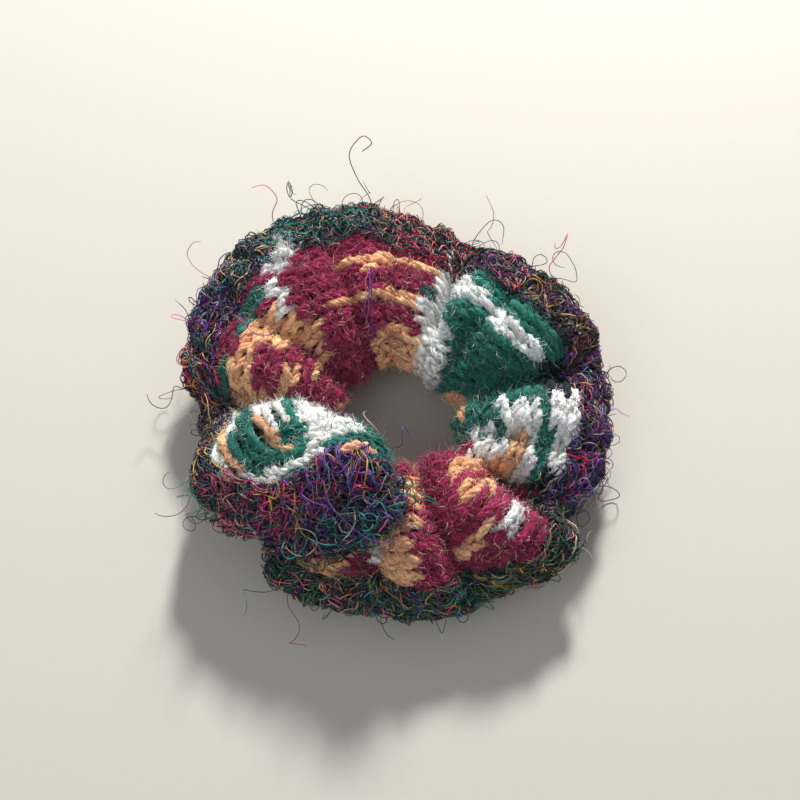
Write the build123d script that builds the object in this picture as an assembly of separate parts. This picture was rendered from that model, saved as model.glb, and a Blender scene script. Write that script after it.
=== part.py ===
from build123d import *
import math
import os

# ---------------------------------------------------------------------------
# Crocheted scrunchie: a knitted strip folded round a hair elastic and closed
# along its outer edge by a band of fluffy novelty yarn. Millimetres, +Z up.
# The ring lies flat on a table; Z = 0 is the surface it rests on and the
# origin is the middle of the bottom of its box.
# The cover is gathered on the elastic, so its outer edge is wavy. One lobe at
# the front left stands up and leans over the hole.
# The ring opens into an oval along Y, so every part that goes round is made
# in four arcs: front, right, back and left.
# ---------------------------------------------------------------------------

# driving dimensions -------------------------------------------------------
ELASTIC_R = 24.0          # centre line of the hair elastic, relaxed
ELASTIC_Z = 12.0          # height of the elastic's centre line
CORE_R = 1.5              # rubber core, radius
SLEEVE_R = 2.5            # braided sleeve, outside radius
SLEEVE_CLEAR = 0.05       # core to sleeve
BAND_R = 2.95             # bonded joint of the elastic, outside radius
BAND_ANGLE = 284.0        # where the bonded joint lies
BAND_SPAN = 14.0          # its length as an angle
HOLE_R = 17.3             # inside of the cover, at the height of the elastic
WALL = 3.2                # thickness of the knitted fabric
EDGE_HALF = 2.9           # half the thickness of the closed outer edge
EDGING_R = 4.0            # radius of the band of novelty yarn
EDGING_IN = 3.6           # its centre line, inwards of the outline
GAP_DEG = 0.9             # half the gap between two arcs, as an angle
SEAM_ANGLE = 73.0         # where the two short ends of the strip are sewn
SEAM_SPAN = 4.4           # width of that seam, as an angle
SEAM_PROUD = 1.1          # how far the whip stitches stand off the fabric
KNOT_ANGLE = 127.0        # where two yarns are knotted together
KNOT_R = 50.0             # radius at which the knot sits
SHIFT = (-0.17, -5.32, 0)  # brings the origin under the middle of the box

# outline of the ruffled cover, one row every so many degrees:
# angle, outline radius, height of the closed edge, height of the ridge,
# radius of the ridge, how far the top leans over the hole
OUTLINE = [
    (0, 55.8, 10.0, 21.5, 33.0, 0.0),
    (15, 57.4, 12.0, 22.5, 35.0, 0.0),
    (31, 56.4, 17.0, 25.5, 37.0, 0.0),
    (47, 53.4, 19.0, 26.0, 36.0, 0.0),
    (62, 52.0, 17.0, 24.5, 34.0, 0.0),
    (78, 53.8, 16.5, 24.0, 34.0, 0.0),
    (94, 58.0, 18.0, 26.0, 36.0, 0.0),
    (108, 60.6, 19.0, 27.0, 38.0, 0.0),
    (121, 61.0, 19.0, 27.5, 39.0, 0.0),
    (135, 61.8, 17.0, 26.5, 39.0, 0.0),
    (148, 61.5, 14.0, 25.0, 38.0, 0.0),
    (160, 59.6, 11.5, 23.0, 36.0, 0.0),
    (172, 55.0, 10.0, 21.0, 33.0, 0.0),
    (184, 51.0, 10.5, 25.0, 32.0, 0.8),
    (194, 52.0, 11.5, 30.0, 31.0, 1.8),
    (206, 53.8, 12.5, 33.5, 30.0, 2.6),
    (218, 51.5, 11.0, 35.5, 28.5, 3.2),
    (231, 50.6, 8.5, 36.0, 27.0, 3.4),
    (243, 49.8, 5.2, 35.0, 26.0, 3.0),
    (254, 48.6, 4.6, 28.0, 26.5, 1.6),
    (266, 47.8, 4.6, 21.5, 29.0, 0.4),
    (280, 48.0, 4.8, 21.2, 31.0, 0.0),
    (294, 48.8, 5.2, 21.0, 32.0, 0.0),
    (308, 51.8, 7.0, 21.5, 33.0, 0.0),
    (321, 53.0, 9.5, 21.0, 32.5, 0.0),
    (333, 53.0, 9.8, 21.0, 32.0, 0.0),
    (346, 54.4, 9.0, 21.0, 32.0, 0.0),
]

# the arcs: name, start angle, end angle
ARCS = [
    ("front", 187.0, 322.0),
    ("right", 322.0, 405.0),
    ("back", 45.0, 135.0),
    ("left", 135.0, 187.0),
]


# ---------------------------------------------------------------------------
# helpers
# ---------------------------------------------------------------------------
def outline(deg):
    """Outline values at any angle, by a smooth periodic interpolation."""
    deg = deg % 360.0
    n = len(OUTLINE)
    for i in range(n):
        a0 = OUTLINE[i][0]
        a1 = OUTLINE[(i + 1) % n][0] + (360.0 if i == n - 1 else 0.0)
        if a0 <= deg <= a1:
            t = (deg - a0) / (a1 - a0)
            rows = [OUTLINE[(i + k) % n] for k in (-1, 0, 1, 2)]
            out = []
            for c in range(1, 6):
                p0, p1, p2, p3 = (r[c] for r in rows)
                out.append(0.5 * ((2 * p1) + (p2 - p0) * t
                                  + (2 * p0 - 5 * p1 + 4 * p2 - p3) * t * t
                                  + (3 * p1 - p0 - 3 * p2 + p3) * t ** 3))
            return out
    raise ValueError(deg)


def place(r, z, deg):
    a = math.radians(deg)
    return Vector(r * math.cos(a), r * math.sin(a), z)


def cover_points(deg, grow=0.0):
    """Outside of the cover in the radial plane at deg, as (r, z) points."""
    rk, ze, zt, rr, lean = outline(deg)
    re = rk - 3.0
    g = grow
    mid_out = 0.5 * (rr + re)
    return [
        (HOLE_R - g, ELASTIC_Z),
        (HOLE_R + 1.6 - g, 4.6),
        (ELASTIC_R - 0.6, -0.6 - g),
        (ELASTIC_R + 9.0, -0.9 - g),
        (mid_out + 3.0, 0.45 * (ze - EDGE_HALF) - 0.5 - g),
        (re - 2.4, ze - EDGE_HALF - g),
        (re + g, ze),
        (re - 2.4, ze + EDGE_HALF + g),
        (mid_out + 1.5, ze + 0.72 * (zt - ze) + 0.6 + g),
        (rr, zt + g),
        (ELASTIC_R - 0.5 - lean, zt - 1.7 + 0.8 * g),
        (HOLE_R + 0.7 - lean - g, zt - 6.5),
    ]


def cavity_points(deg):
    """Space inside the cover in the radial plane at deg."""
    rk, ze, zt, rr, lean = outline(deg)
    re = rk - 3.0 - 8.5
    mid_out = 0.5 * (rr + re)
    w = WALL
    return [
        (HOLE_R + w - 0.3, ELASTIC_Z),
        (HOLE_R + 1.2 + w, 6.3),
        (ELASTIC_R + 0.6, w),
        (ELASTIC_R + 8.0, w - 0.2),
        (mid_out + 0.6, max(w, 0.5 * (ze + 0.5))),
        (re - 1.4, max(w + 0.2, ze - 0.9)),
        (re, max(w + 1.0, ze + 0.2)),
        (re - 1.4, max(w + 1.8, ze + 1.3)),
        (mid_out - 0.5, ze + 0.72 * (zt - ze) + 0.6 - w),
        (rr - 0.3, zt - w),
        (ELASTIC_R + 0.8 - lean, max(zt - 1.7 - w, 16.2)),
        (HOLE_R + w + 0.5 - lean, max(zt - 8.0, 14.9)),
    ]


def ring_wire(points, deg):
    pts = [place(r, z, deg) for r, z in points]
    return Wire([Edge.make_spline(pts, periodic=True)])


def stations(a0, a1, step):
    n = max(2, int(math.ceil((a1 - a0) / step)))
    return [a0 + (a1 - a0) * i / n for i in range(n + 1)]


def arc_loft(fn, a0, a1, step=12.0):
    return Solid.make_loft([ring_wire(fn(a), a) for a in stations(a0, a1, step)],
                           ruled=False)


def edging_points(deg, grow=0.0):
    rk, ze = outline(deg)[:2]
    c = (rk - EDGING_IN, ze)
    r = EDGING_R + grow
    return [(c[0] + r * math.cos(math.radians(t)),
             c[1] + 0.95 * r * math.sin(math.radians(t)))
            for t in range(0, 360, 45)]


def torus_arc(r, a0, a1):
    """Part of a ring of round section r on the elastic's centre line."""
    t = Solid.make_torus(ELASTIC_R, r, Plane.XY, 0, 360, a1 - a0)
    return Pos(0, 0, ELASTIC_Z) * Rot(0, 0, a0) * t


def as_part(shape, label, colour):
    s = Pos(*SHIFT) * shape
    solids = s.solids()
    out = solids[0] if len(solids) == 1 else Compound(children=list(solids))
    out.label = label
    out.color = Color(*colour)
    return out


# ---------------------------------------------------------------------------
# build
# ---------------------------------------------------------------------------
ground = Pos(0, 0, -25) * Box(300, 300, 50)     # everything below Z = 0
parts = []
covers = {}
edgings = {}

for name, a0, a1 in ARCS:
    s0, s1 = a0 + GAP_DEG, a1 - GAP_DEG

    # knitted cover: the folded strip, hollow round the elastic, flat below
    outer = arc_loft(cover_points, s0, s1)
    inner = arc_loft(cavity_points, s0 - 0.6, s1 + 0.6)
    cover = (outer - inner) - ground
    covers[name] = outer
    parts.append(as_part(cover, "knit_cover_" + name, (0.45, 0.10, 0.22)))

    # edging: the band of novelty yarn that closes the strip's long edges
    band = arc_loft(edging_points, s0, s1)
    edging = (band - outer) - ground
    edgings[name] = edging
    parts.append(as_part(edging, "yarn_edging_" + name, (0.10, 0.14, 0.22)))

    # hair elastic: rubber core inside a braided sleeve
    e0, e1 = s0 + 0.2, s1 - 0.2
    core = torus_arc(CORE_R, e0, e1)
    sleeve = torus_arc(SLEEVE_R, e0, e1) - torus_arc(CORE_R + SLEEVE_CLEAR, e0, e1)
    parts.append(as_part(core, "elastic_core_" + name, (0.75, 0.68, 0.55)))
    parts.append(as_part(sleeve, "elastic_sleeve_" + name, (0.06, 0.06, 0.07)))

# bonded joint where the two ends of the elastic meet
b0, b1 = BAND_ANGLE - BAND_SPAN / 2, BAND_ANGLE + BAND_SPAN / 2
joint_band = torus_arc(BAND_R, b0, b1) - torus_arc(SLEEVE_R, b0, b1)
parts.append(as_part(joint_band, "elastic_joint_band", (0.10, 0.10, 0.11)))

# whip-stitched seam that joins the two short ends of the strip
seam = arc_loft(lambda a: cover_points(a, SEAM_PROUD),
                SEAM_ANGLE - SEAM_SPAN / 2, SEAM_ANGLE + SEAM_SPAN / 2, 2.2)
seam = seam - covers["back"] - ground
seam = seam - arc_loft(lambda a: edging_points(a, 0.4), 58, 88, 7.5)
seam = sorted(seam.solids(), key=lambda q: q.volume)[-1]
parts.append(as_part(seam, "strip_end_seam", (0.90, 0.90, 0.88)))

# knot where one yarn was joined to the next, lying on the cover
kz = outline(KNOT_ANGLE)[1] + 5.2
knot = Pos(*place(KNOT_R, kz, KNOT_ANGLE)) * Rot(0, 0, KNOT_ANGLE + 15) * Solid.make_sphere(
    3.6, Plane.XY)
knot = knot - covers["back"] - edgings["back"]
knot_solids = sorted(knot.solids(), key=lambda s: s.volume)
parts.append(as_part(knot_solids[-1], "yarn_knot", (0.92, 0.92, 0.90)))

# ---------------------------------------------------------------------------
# write one file per piece
# ---------------------------------------------------------------------------
os.makedirs("parts", exist_ok=True)
lo = [1e9] * 3
hi = [-1e9] * 3
for p in parts:
    for v in p.tessellate(0.05, 0.2)[0]:
        for i, a in enumerate((v.X, v.Y, v.Z)):
            lo[i] = min(lo[i], a)
            hi[i] = max(hi[i], a)
    export_step(p, "parts/%s.step" % p.label)
print("box", [round(v, 2) for v in lo], [round(v, 2) for v in hi])
print("centre", [round((a + b) / 2, 3) for a, b in zip(lo, hi)])
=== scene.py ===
import bpy
import math
import numpy as np
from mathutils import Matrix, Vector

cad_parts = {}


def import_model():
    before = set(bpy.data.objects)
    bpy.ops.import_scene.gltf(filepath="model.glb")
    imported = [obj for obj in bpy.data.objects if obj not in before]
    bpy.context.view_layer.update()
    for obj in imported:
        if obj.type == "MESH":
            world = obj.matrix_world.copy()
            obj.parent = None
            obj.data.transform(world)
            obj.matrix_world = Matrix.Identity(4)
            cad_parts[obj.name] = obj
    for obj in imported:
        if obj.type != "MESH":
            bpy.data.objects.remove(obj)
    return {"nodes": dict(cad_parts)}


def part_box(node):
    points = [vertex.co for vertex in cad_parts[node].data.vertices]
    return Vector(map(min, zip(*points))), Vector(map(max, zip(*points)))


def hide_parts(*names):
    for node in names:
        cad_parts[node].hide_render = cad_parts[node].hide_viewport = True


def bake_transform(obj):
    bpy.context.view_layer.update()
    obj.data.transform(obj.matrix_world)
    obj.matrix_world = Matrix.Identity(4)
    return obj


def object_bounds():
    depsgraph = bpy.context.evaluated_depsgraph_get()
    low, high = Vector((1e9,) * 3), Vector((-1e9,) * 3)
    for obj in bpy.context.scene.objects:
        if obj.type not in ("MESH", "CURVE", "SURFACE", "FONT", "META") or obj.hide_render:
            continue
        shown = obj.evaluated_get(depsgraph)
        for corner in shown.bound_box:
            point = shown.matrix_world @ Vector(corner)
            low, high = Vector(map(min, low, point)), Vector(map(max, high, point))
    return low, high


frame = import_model()
cad_lo, cad_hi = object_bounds()
NODES = frame["nodes"]

# ---------------------------------------------------------------------------
# Lengths below are millimetres in the scrunchie's own frame: X right, Y back,
# Z up, with the elastic's axis at X = Y = 0. The elastic's CAD nodes say where
# that axis lies in the row frame.
# ---------------------------------------------------------------------------
_b = [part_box("elastic_sleeve_" + a) for a in ("front", "right", "back", "left")]
AX = 0.5 * (min(b[0].x for b in _b) + max(b[1].x for b in _b))
AY = 0.5 * (min(b[0].y for b in _b) + max(b[1].y for b in _b))
AZ = 0.5 * (min(b[0].z for b in _b) + max(b[1].z for b in _b))
R_EL = 24.0
Z_EL = AZ * 1000.0
R_IN = 6.6            # radius of the cover where it wraps the elastic
N_ST = 70             # stitches round
TAU = 2 * math.pi


def rng_for(name):
    return np.random.default_rng(sum((i + 1) * ord(c) for i, c in enumerate(name)) % 99991)


def world(p):
    """Design millimetres to row-frame metres."""
    q = np.asarray(p, float) * 0.001
    q = q.copy()
    q[..., 0] += AX
    q[..., 1] += AY
    return q


# ---------------------------------------------------------------------------
# The outer edge of the ruffled strip: angle on the elastic, edge point X Y Z,
# elevation at which the fabric leaves the elastic, half thickness above and
# below the middle surface.
# ---------------------------------------------------------------------------
EDGE = [
    (0, 51.6, 3.7, 10.0, 8, 9.0, 6.5),
    (16, 50.4, 18.3, 12.0, 10, 10.0, 7.0),
    (32, 45.2, 28.0, 20.0, 16, 10.5, 7.5),
    (50, 34.4, 38.6, 20.0, 16, 10.5, 7.5),
    (67, 22.1, 46.9, 16.0, 10, 9.5, 7.0),
    (82, 8.4, 53.5, 16.0, 8, 9.0, 7.0),
    (97, -5.6, 58.1, 18.0, 10, 10.5, 7.5),
    (111, -19.5, 58.1, 19.0, 12, 11.0, 7.5),
    (125, -33.4, 52.0, 19.0, 14, 11.0, 7.5),
    (138, -45.2, 43.2, 17.0, 14, 11.0, 7.5),
    (150, -51.5, 32.3, 14.5, 12, 10.5, 7.0),
    (161, -54.0, 21.2, 11.5, 8, 9.5, 6.5),
    (172, -53.5, 10.6, 9.0, 4, 8.0, 6.0),
    (182, -49.7, 2.4, 9.0, 10, 6.0, 5.0),
    (190, -47.6, -10.0, 11.0, 30, 5.5, 4.0),
    (197, -47.4, -21.8, 14.0, 52, 5.5, 3.0),
    (203, -33.9, -26.2, 20.0, 66, 5.5, 2.6),
    (208, -18.8, -22.5, 27.0, 74, 5.2, 2.4),
    (212, -7.6, -19.3, 32.0, 76, 4.6, 2.4),
    (216, -2.2, -24.6, 32.5, 66, 4.0, 2.6),
    (221, -5.4, -32.0, 26.0, 48, 3.6, 2.8),
    (226, -15.0, -36.4, 16.0, 28, 3.4, 3.0),
    (231, -28.0, -36.0, 9.5, 12, 3.2, 3.2),
    (238, -30.9, -39.6, 5.0, 4, 3.4, 3.4),
    (245, -22.7, -44.1, 4.5, 4, 4.0, 4.0),
    (252, -13.8, -46.2, 4.5, 6, 5.0, 4.5),
    (263, 0.0, -47.7, 4.5, 8, 6.5, 5.5),
    (274, 12.5, -46.4, 5.0, 8, 8.0, 6.0),
    (286, 25.1, -42.1, 6.0, 8, 8.5, 6.0),
    (298, 36.2, -36.6, 8.0, 8, 8.5, 6.0),
    (308, 42.2, -32.8, 10.0, 8, 8.0, 6.0),
    (317, 39.3, -29.5, 10.0, 2, 5.5, 5.0),
    (327, 44.6, -24.2, 9.5, 4, 6.5, 5.5),
    (338, 48.6, -16.3, 9.0, 6, 8.0, 6.0),
    (349, 50.6, -6.2, 9.0, 8, 8.5, 6.0),
]
EDGE = np.array(EDGE, float)


def periodic(values, knots, period, at):
    """Smooth periodic interpolation (Catmull-Rom on uneven knots)."""
    values = np.asarray(values, float)
    n = len(knots)
    at = np.mod(at, period)
    i = np.searchsorted(knots, at, side="right") - 1
    i = np.where(i < 0, n - 1, i)
    k = lambda j: knots[j % n] + period * (j // n)
    k0, k1, k2, k3 = k(i - 1), k(i), k(i + 1), k(i + 2)
    at = np.where(at < k1, at + period, at)
    v0, v1, v2, v3 = (values[(i + d) % n] for d in (-1, 0, 1, 2))
    shape = (slice(None),) + (None,) * (values.ndim - 1)
    h = (k2 - k1)[shape]
    t = ((at - k1) / (k2 - k1))[shape]
    m1 = (v2 - v0) / (k2 - k0)[shape] * h
    m2 = (v3 - v1) / (k3 - k1)[shape] * h
    return ((2 * t**3 - 3 * t**2 + 1) * v1 + (t**3 - 2 * t**2 + t) * m1
            + (-2 * t**3 + 3 * t**2) * v2 + (t**3 - t**2) * m2)


# The strip's own length runs partly with the edge and partly with the elastic.
_e = EDGE[:, 1:4]
_seg = np.linalg.norm(np.roll(_e, -1, 0) - _e, axis=1)
_KN = np.concatenate([[0], np.cumsum(_seg)[:-1]])
_PER = _seg.sum()
EDGE_UNROLLED = EDGE.copy()


def strip_at(u):
    """Angle, edge point and the three shape numbers at strip positions u (0 to 1)."""
    u = np.asarray(u, float)
    at = u * _PER
    lin = EDGE[:, 0] - 360.0 * _KN / _PER          # periodic part of the angle
    ang = periodic(lin, _KN, _PER, at) + 360.0 * u
    rest = periodic(EDGE[:, 1:], _KN, _PER, at)
    return np.radians(ang), rest[:, :3], np.radians(rest[:, 3]), rest[:, 4], rest[:, 5]


# ---------------------------------------------------------------------------
# Middle surface and the closed section of the folded strip, on a fine grid.
# Section position w: 0 at the lower outer edge, in along the underside, round
# the elastic, and out along the top to 1 at the upper outer edge.
# ---------------------------------------------------------------------------
NU, NA = 1400, 61
_u = np.arange(NU) / NU
ang, E, beta, h_top, h_bot = strip_at(_u)
P0 = np.stack([R_EL * np.cos(ang), R_EL * np.sin(ang), np.full(NU, Z_EL)], 1)
radial = np.stack([np.cos(ang), np.sin(ang), np.zeros(NU)], 1)
up = np.array([0, 0, 1.0])
d0 = radial * np.cos(beta)[:, None] + up * np.sin(beta)[:, None]
reach_ = np.linalg.norm(E - P0, axis=1)
bulge = 0.50 + 0.14 * np.clip(np.degrees(beta) / 70, 0, 1)
M = P0 + d0 * (reach_ * bulge)[:, None]
# the lip of the standing lobe curls over, so its edge tucks in under the lip
_deg = np.degrees(ang) % 360
CURL = np.interp(_deg, [0, 198, 206, 216, 223, 360], [0, 0, 1, 1, 0, 0])[:, None]
M = M * (1 - CURL) + CURL * (0.12 * P0 + 0.88 * E + np.array([0.5, 4.5, 6.0]))
E = E + CURL * np.array([-2.0, -5.5, -7.5])
_a = np.linspace(0, 1, NA)
A = _a[None, :, None]
C = (1 - A) ** 2 * P0[:, None] + 2 * A * (1 - A) * M[:, None] + A**2 * E[:, None]


def smooth_u(x, n):
    k = np.hanning(n + 2)[1:-1]
    k /= k.sum()
    out = np.zeros_like(x)
    h = len(k) // 2
    for i, w in enumerate(k):
        out += w * np.roll(x, i - h, axis=0)
    return out


dU = (np.roll(C, -3, 0) - np.roll(C, 3, 0))
dA = np.gradient(C, axis=1)
N = np.cross(dA, dU)
N /= np.maximum(np.linalg.norm(N, axis=2, keepdims=True), 1e-9)
tau = np.stack([-np.sin(ang), np.cos(ang), np.zeros(NU)], 1)
N0 = np.cross(d0, tau)
near = np.clip(1 - _a / 0.22, 0, 1)[None, :, None] ** 1.5
N = N * (1 - near) + N0[:, None] * near
N /= np.maximum(np.linalg.norm(N, axis=2, keepdims=True), 1e-9)
for _ in range(2):
    N = smooth_u(N, 21)
    N /= np.maximum(np.linalg.norm(N, axis=2, keepdims=True), 1e-9)

EDGE_TH = 2.0


def half(h_mid):
    """Half thickness along the leaf for a given mid value."""
    a = _a[None, :]
    base = (1 - a) * R_IN + a * EDGE_TH
    lift = h_mid[:, None] - (0.56 * R_IN + 0.44 * EDGE_TH)
    bump = np.sin(np.pi * a**0.85)
    return base + lift * bump


# gathers: angle, depth (negative for a crest), spread in degrees
GATHER = [(68, 9.5, 4.5), (57, -3.0, 5.0), (14, 11.0, 5.0), (356, -2.5, 7.0), (34, -2.5, 9.0),
          (326, 8.5, 4.5), (284, 6.5, 3.5), (272, -3.5, 4.0), (303, -3.0, 8.0), (260, 4.0, 4.0),
          (179.5, 7.0, 4.0), (199, -4.5, 9.0), (80, -1.5, 4.0), (94, 2.6, 3.2), (104, -1.2, 4.0), (115, 3.4, 3.6), (130, -2.2, 6.0),
          (147, 3.2, 3.4), (162, -2.5, 6.0), (44, 2.6, 2.6), (313, 2.6, 3.0), (293, 1.6, 2.5), (344, 3.4, 3.2)]
valley = np.zeros(NU)
for _a0, _dep, _sp in GATHER:
    valley += _dep * np.exp(-(((_deg - _a0 + 180) % 360 - 180) ** 2) / (2.0 * _sp**2))
_fold = np.sin(np.pi * _a**0.62)[None]
# the hollow behind the front edging opens outwards
_open = 7.0 * np.exp(-(((_deg - 322 + 180) % 360 - 180) ** 2) / (2.0 * 4.5**2))
_out = np.sin(np.pi * _a**1.5)[None]
H_T = np.maximum(half(h_top) - valley[:, None] * _fold - _open[:, None] * _out, -2.5 * _fold + 0.8)
H_B = np.maximum(half(h_bot) - 0.30 * valley[:, None] * _fold, 1.6 - np.minimum(H_T, 0))
# how far the cover reaches into the hole, by angle
R_WRAP = np.interp(_deg, [0, 30, 58, 72, 95, 140, 170, 200, 250, 300, 330, 360],
                   [6.8, 6.6, 7.6, 7.4, 5.2, 4.9, 5.6, 6.4, 6.6, 6.8, 6.6, 6.8])
R_WRAP = smooth_u(R_WRAP + 0.8 * np.clip(-valley, 0, 3) - 0.16 * np.clip(valley, 0, 8), 31)
TOP = C + N * H_T[..., None]
BOT = C - N * H_B[..., None]
NW = 25
th = np.linspace(0, np.pi, NW)[None, :, None]
WRAP = P0[:, None] + R_WRAP[:, None, None] * (np.cos(th) * N0[:, None] - np.sin(th) * d0[:, None])
# one closed section from the lower edge round to the upper edge
SEC = np.concatenate([BOT[:, ::-1][:, :-1], WRAP[:, ::-1], TOP[:, 1:]], 1)
NWID = SEC.shape[1]


def soft_floor(z, r):
    """Keeps the fabric above the surface it lies on, with a rounded transition."""
    return r + np.where(z - r > 4, z - r, 0.5 * ((z - r) + np.sqrt((z - r) ** 2 + 4.0)))


SEC[..., 2] = soft_floor(SEC[..., 2], 1.2)
# equal steps of real width along every section
_d = np.linalg.norm(np.diff(SEC, axis=1), axis=2)
_len = np.concatenate([np.zeros((NU, 1)), np.cumsum(_d, 1)], 1)
WIDTH = _len[:, -1]
_w = np.linspace(0, 1, NWID)
for i in range(NU):
    f = _len[i] / _len[i, -1]
    SEC[i] = np.stack([np.interp(_w, f, SEC[i, :, k]) for k in range(3)], 1)
SEC = smooth_u(SEC, 9)
SU = (np.roll(SEC, -2, 0) - np.roll(SEC, 2, 0)) * (NU / 4.0)
SW = np.gradient(SEC, axis=1) * (NWID - 1)
SN = np.cross(SW, SU)
SN /= np.maximum(np.linalg.norm(SN, axis=2, keepdims=True), 1e-9)
# outwards everywhere: the section's normal must point away from its middle
_mid = SEC.mean(1, keepdims=True)
_sgn = np.sign(((SEC - _mid) * SN).sum(2).mean())
SN *= _sgn
for _ in range(2):
    SN = smooth_u(SN, 13)
    SN[:, 1:-1] = 0.25 * SN[:, :-2] + 0.5 * SN[:, 1:-1] + 0.25 * SN[:, 2:]
    SN /= np.maximum(np.linalg.norm(SN, axis=2, keepdims=True), 1e-9)
LU = np.linalg.norm(SU, axis=2)                 # mm per unit u
print("strip width %.1f..%.1f mm, edge length %.0f mm" % (WIDTH.min(), WIDTH.max(), _PER))


def on_strip(u, w, h=0.0, grid=None):
    """Point on the strip's outside, h millimetres proud of it. u wraps, w is 0..1."""
    u = np.mod(np.asarray(u, float), 1.0) * NU
    w = np.clip(np.asarray(w, float), 0, 1) * (NWID - 1)
    i = np.floor(u).astype(int)
    j = np.minimum(np.floor(w).astype(int), NWID - 2)
    fu, fw = (u - i)[..., None], (w - j)[..., None]
    i0, i1 = i % NU, (i + 1) % NU

    def get(g):
        return ((1 - fu) * ((1 - fw) * g[i0, j] + fw * g[i0, j + 1])
                + fu * ((1 - fw) * g[i1, j] + fw * g[i1, j + 1]))

    p, n = get(SEC), get(SN)
    n /= np.maximum(np.linalg.norm(n, axis=-1, keepdims=True), 1e-9)
    p = p + n * np.asarray(h, float)[..., None]
    return p, n


# ---------------------------------------------------------------------------
# Tubes: many strands of the same number of points at once, written as one
# mesh, with a map that gives every strand its own cell.
# ---------------------------------------------------------------------------
def unit(v):
    return v / np.maximum(np.linalg.norm(v, axis=-1, keepdims=True), 1e-9)


def frames(pts, ref=None):
    T = unit(np.gradient(pts, axis=1))
    if ref is None:
        chord = unit(pts[:, -1] - pts[:, 0] + 1e-6)
        ax = np.zeros_like(chord)
        ax[np.arange(len(chord)), np.abs(chord).argmin(1)] = 1.0
        ref = np.repeat(ax[:, None], pts.shape[1], 1)
    B = unit(np.cross(T, ref))
    return T, np.cross(B, T), B


def spline(ctrl, k):
    """Catmull-Rom through control points, (S, C, D) to (S, k, D)."""
    c = np.concatenate([2 * ctrl[:, :1] - ctrl[:, 1:2], ctrl, 2 * ctrl[:, -1:] - ctrl[:, -2:-1]], 1)
    m = ctrl.shape[1] - 1
    x = np.linspace(0, m, k)
    i = np.minimum(x.astype(int), m - 1)
    t = (x - i)[None, :, None]
    p0, p1, p2, p3 = c[:, i], c[:, i + 1], c[:, i + 2], c[:, i + 3]
    return 0.5 * (2 * p1 + (p2 - p0) * t + (2 * p0 - 5 * p1 + 4 * p2 - p3) * t**2
                  + (3 * p1 - p0 - 3 * p2 + p3) * t**3)


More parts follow.
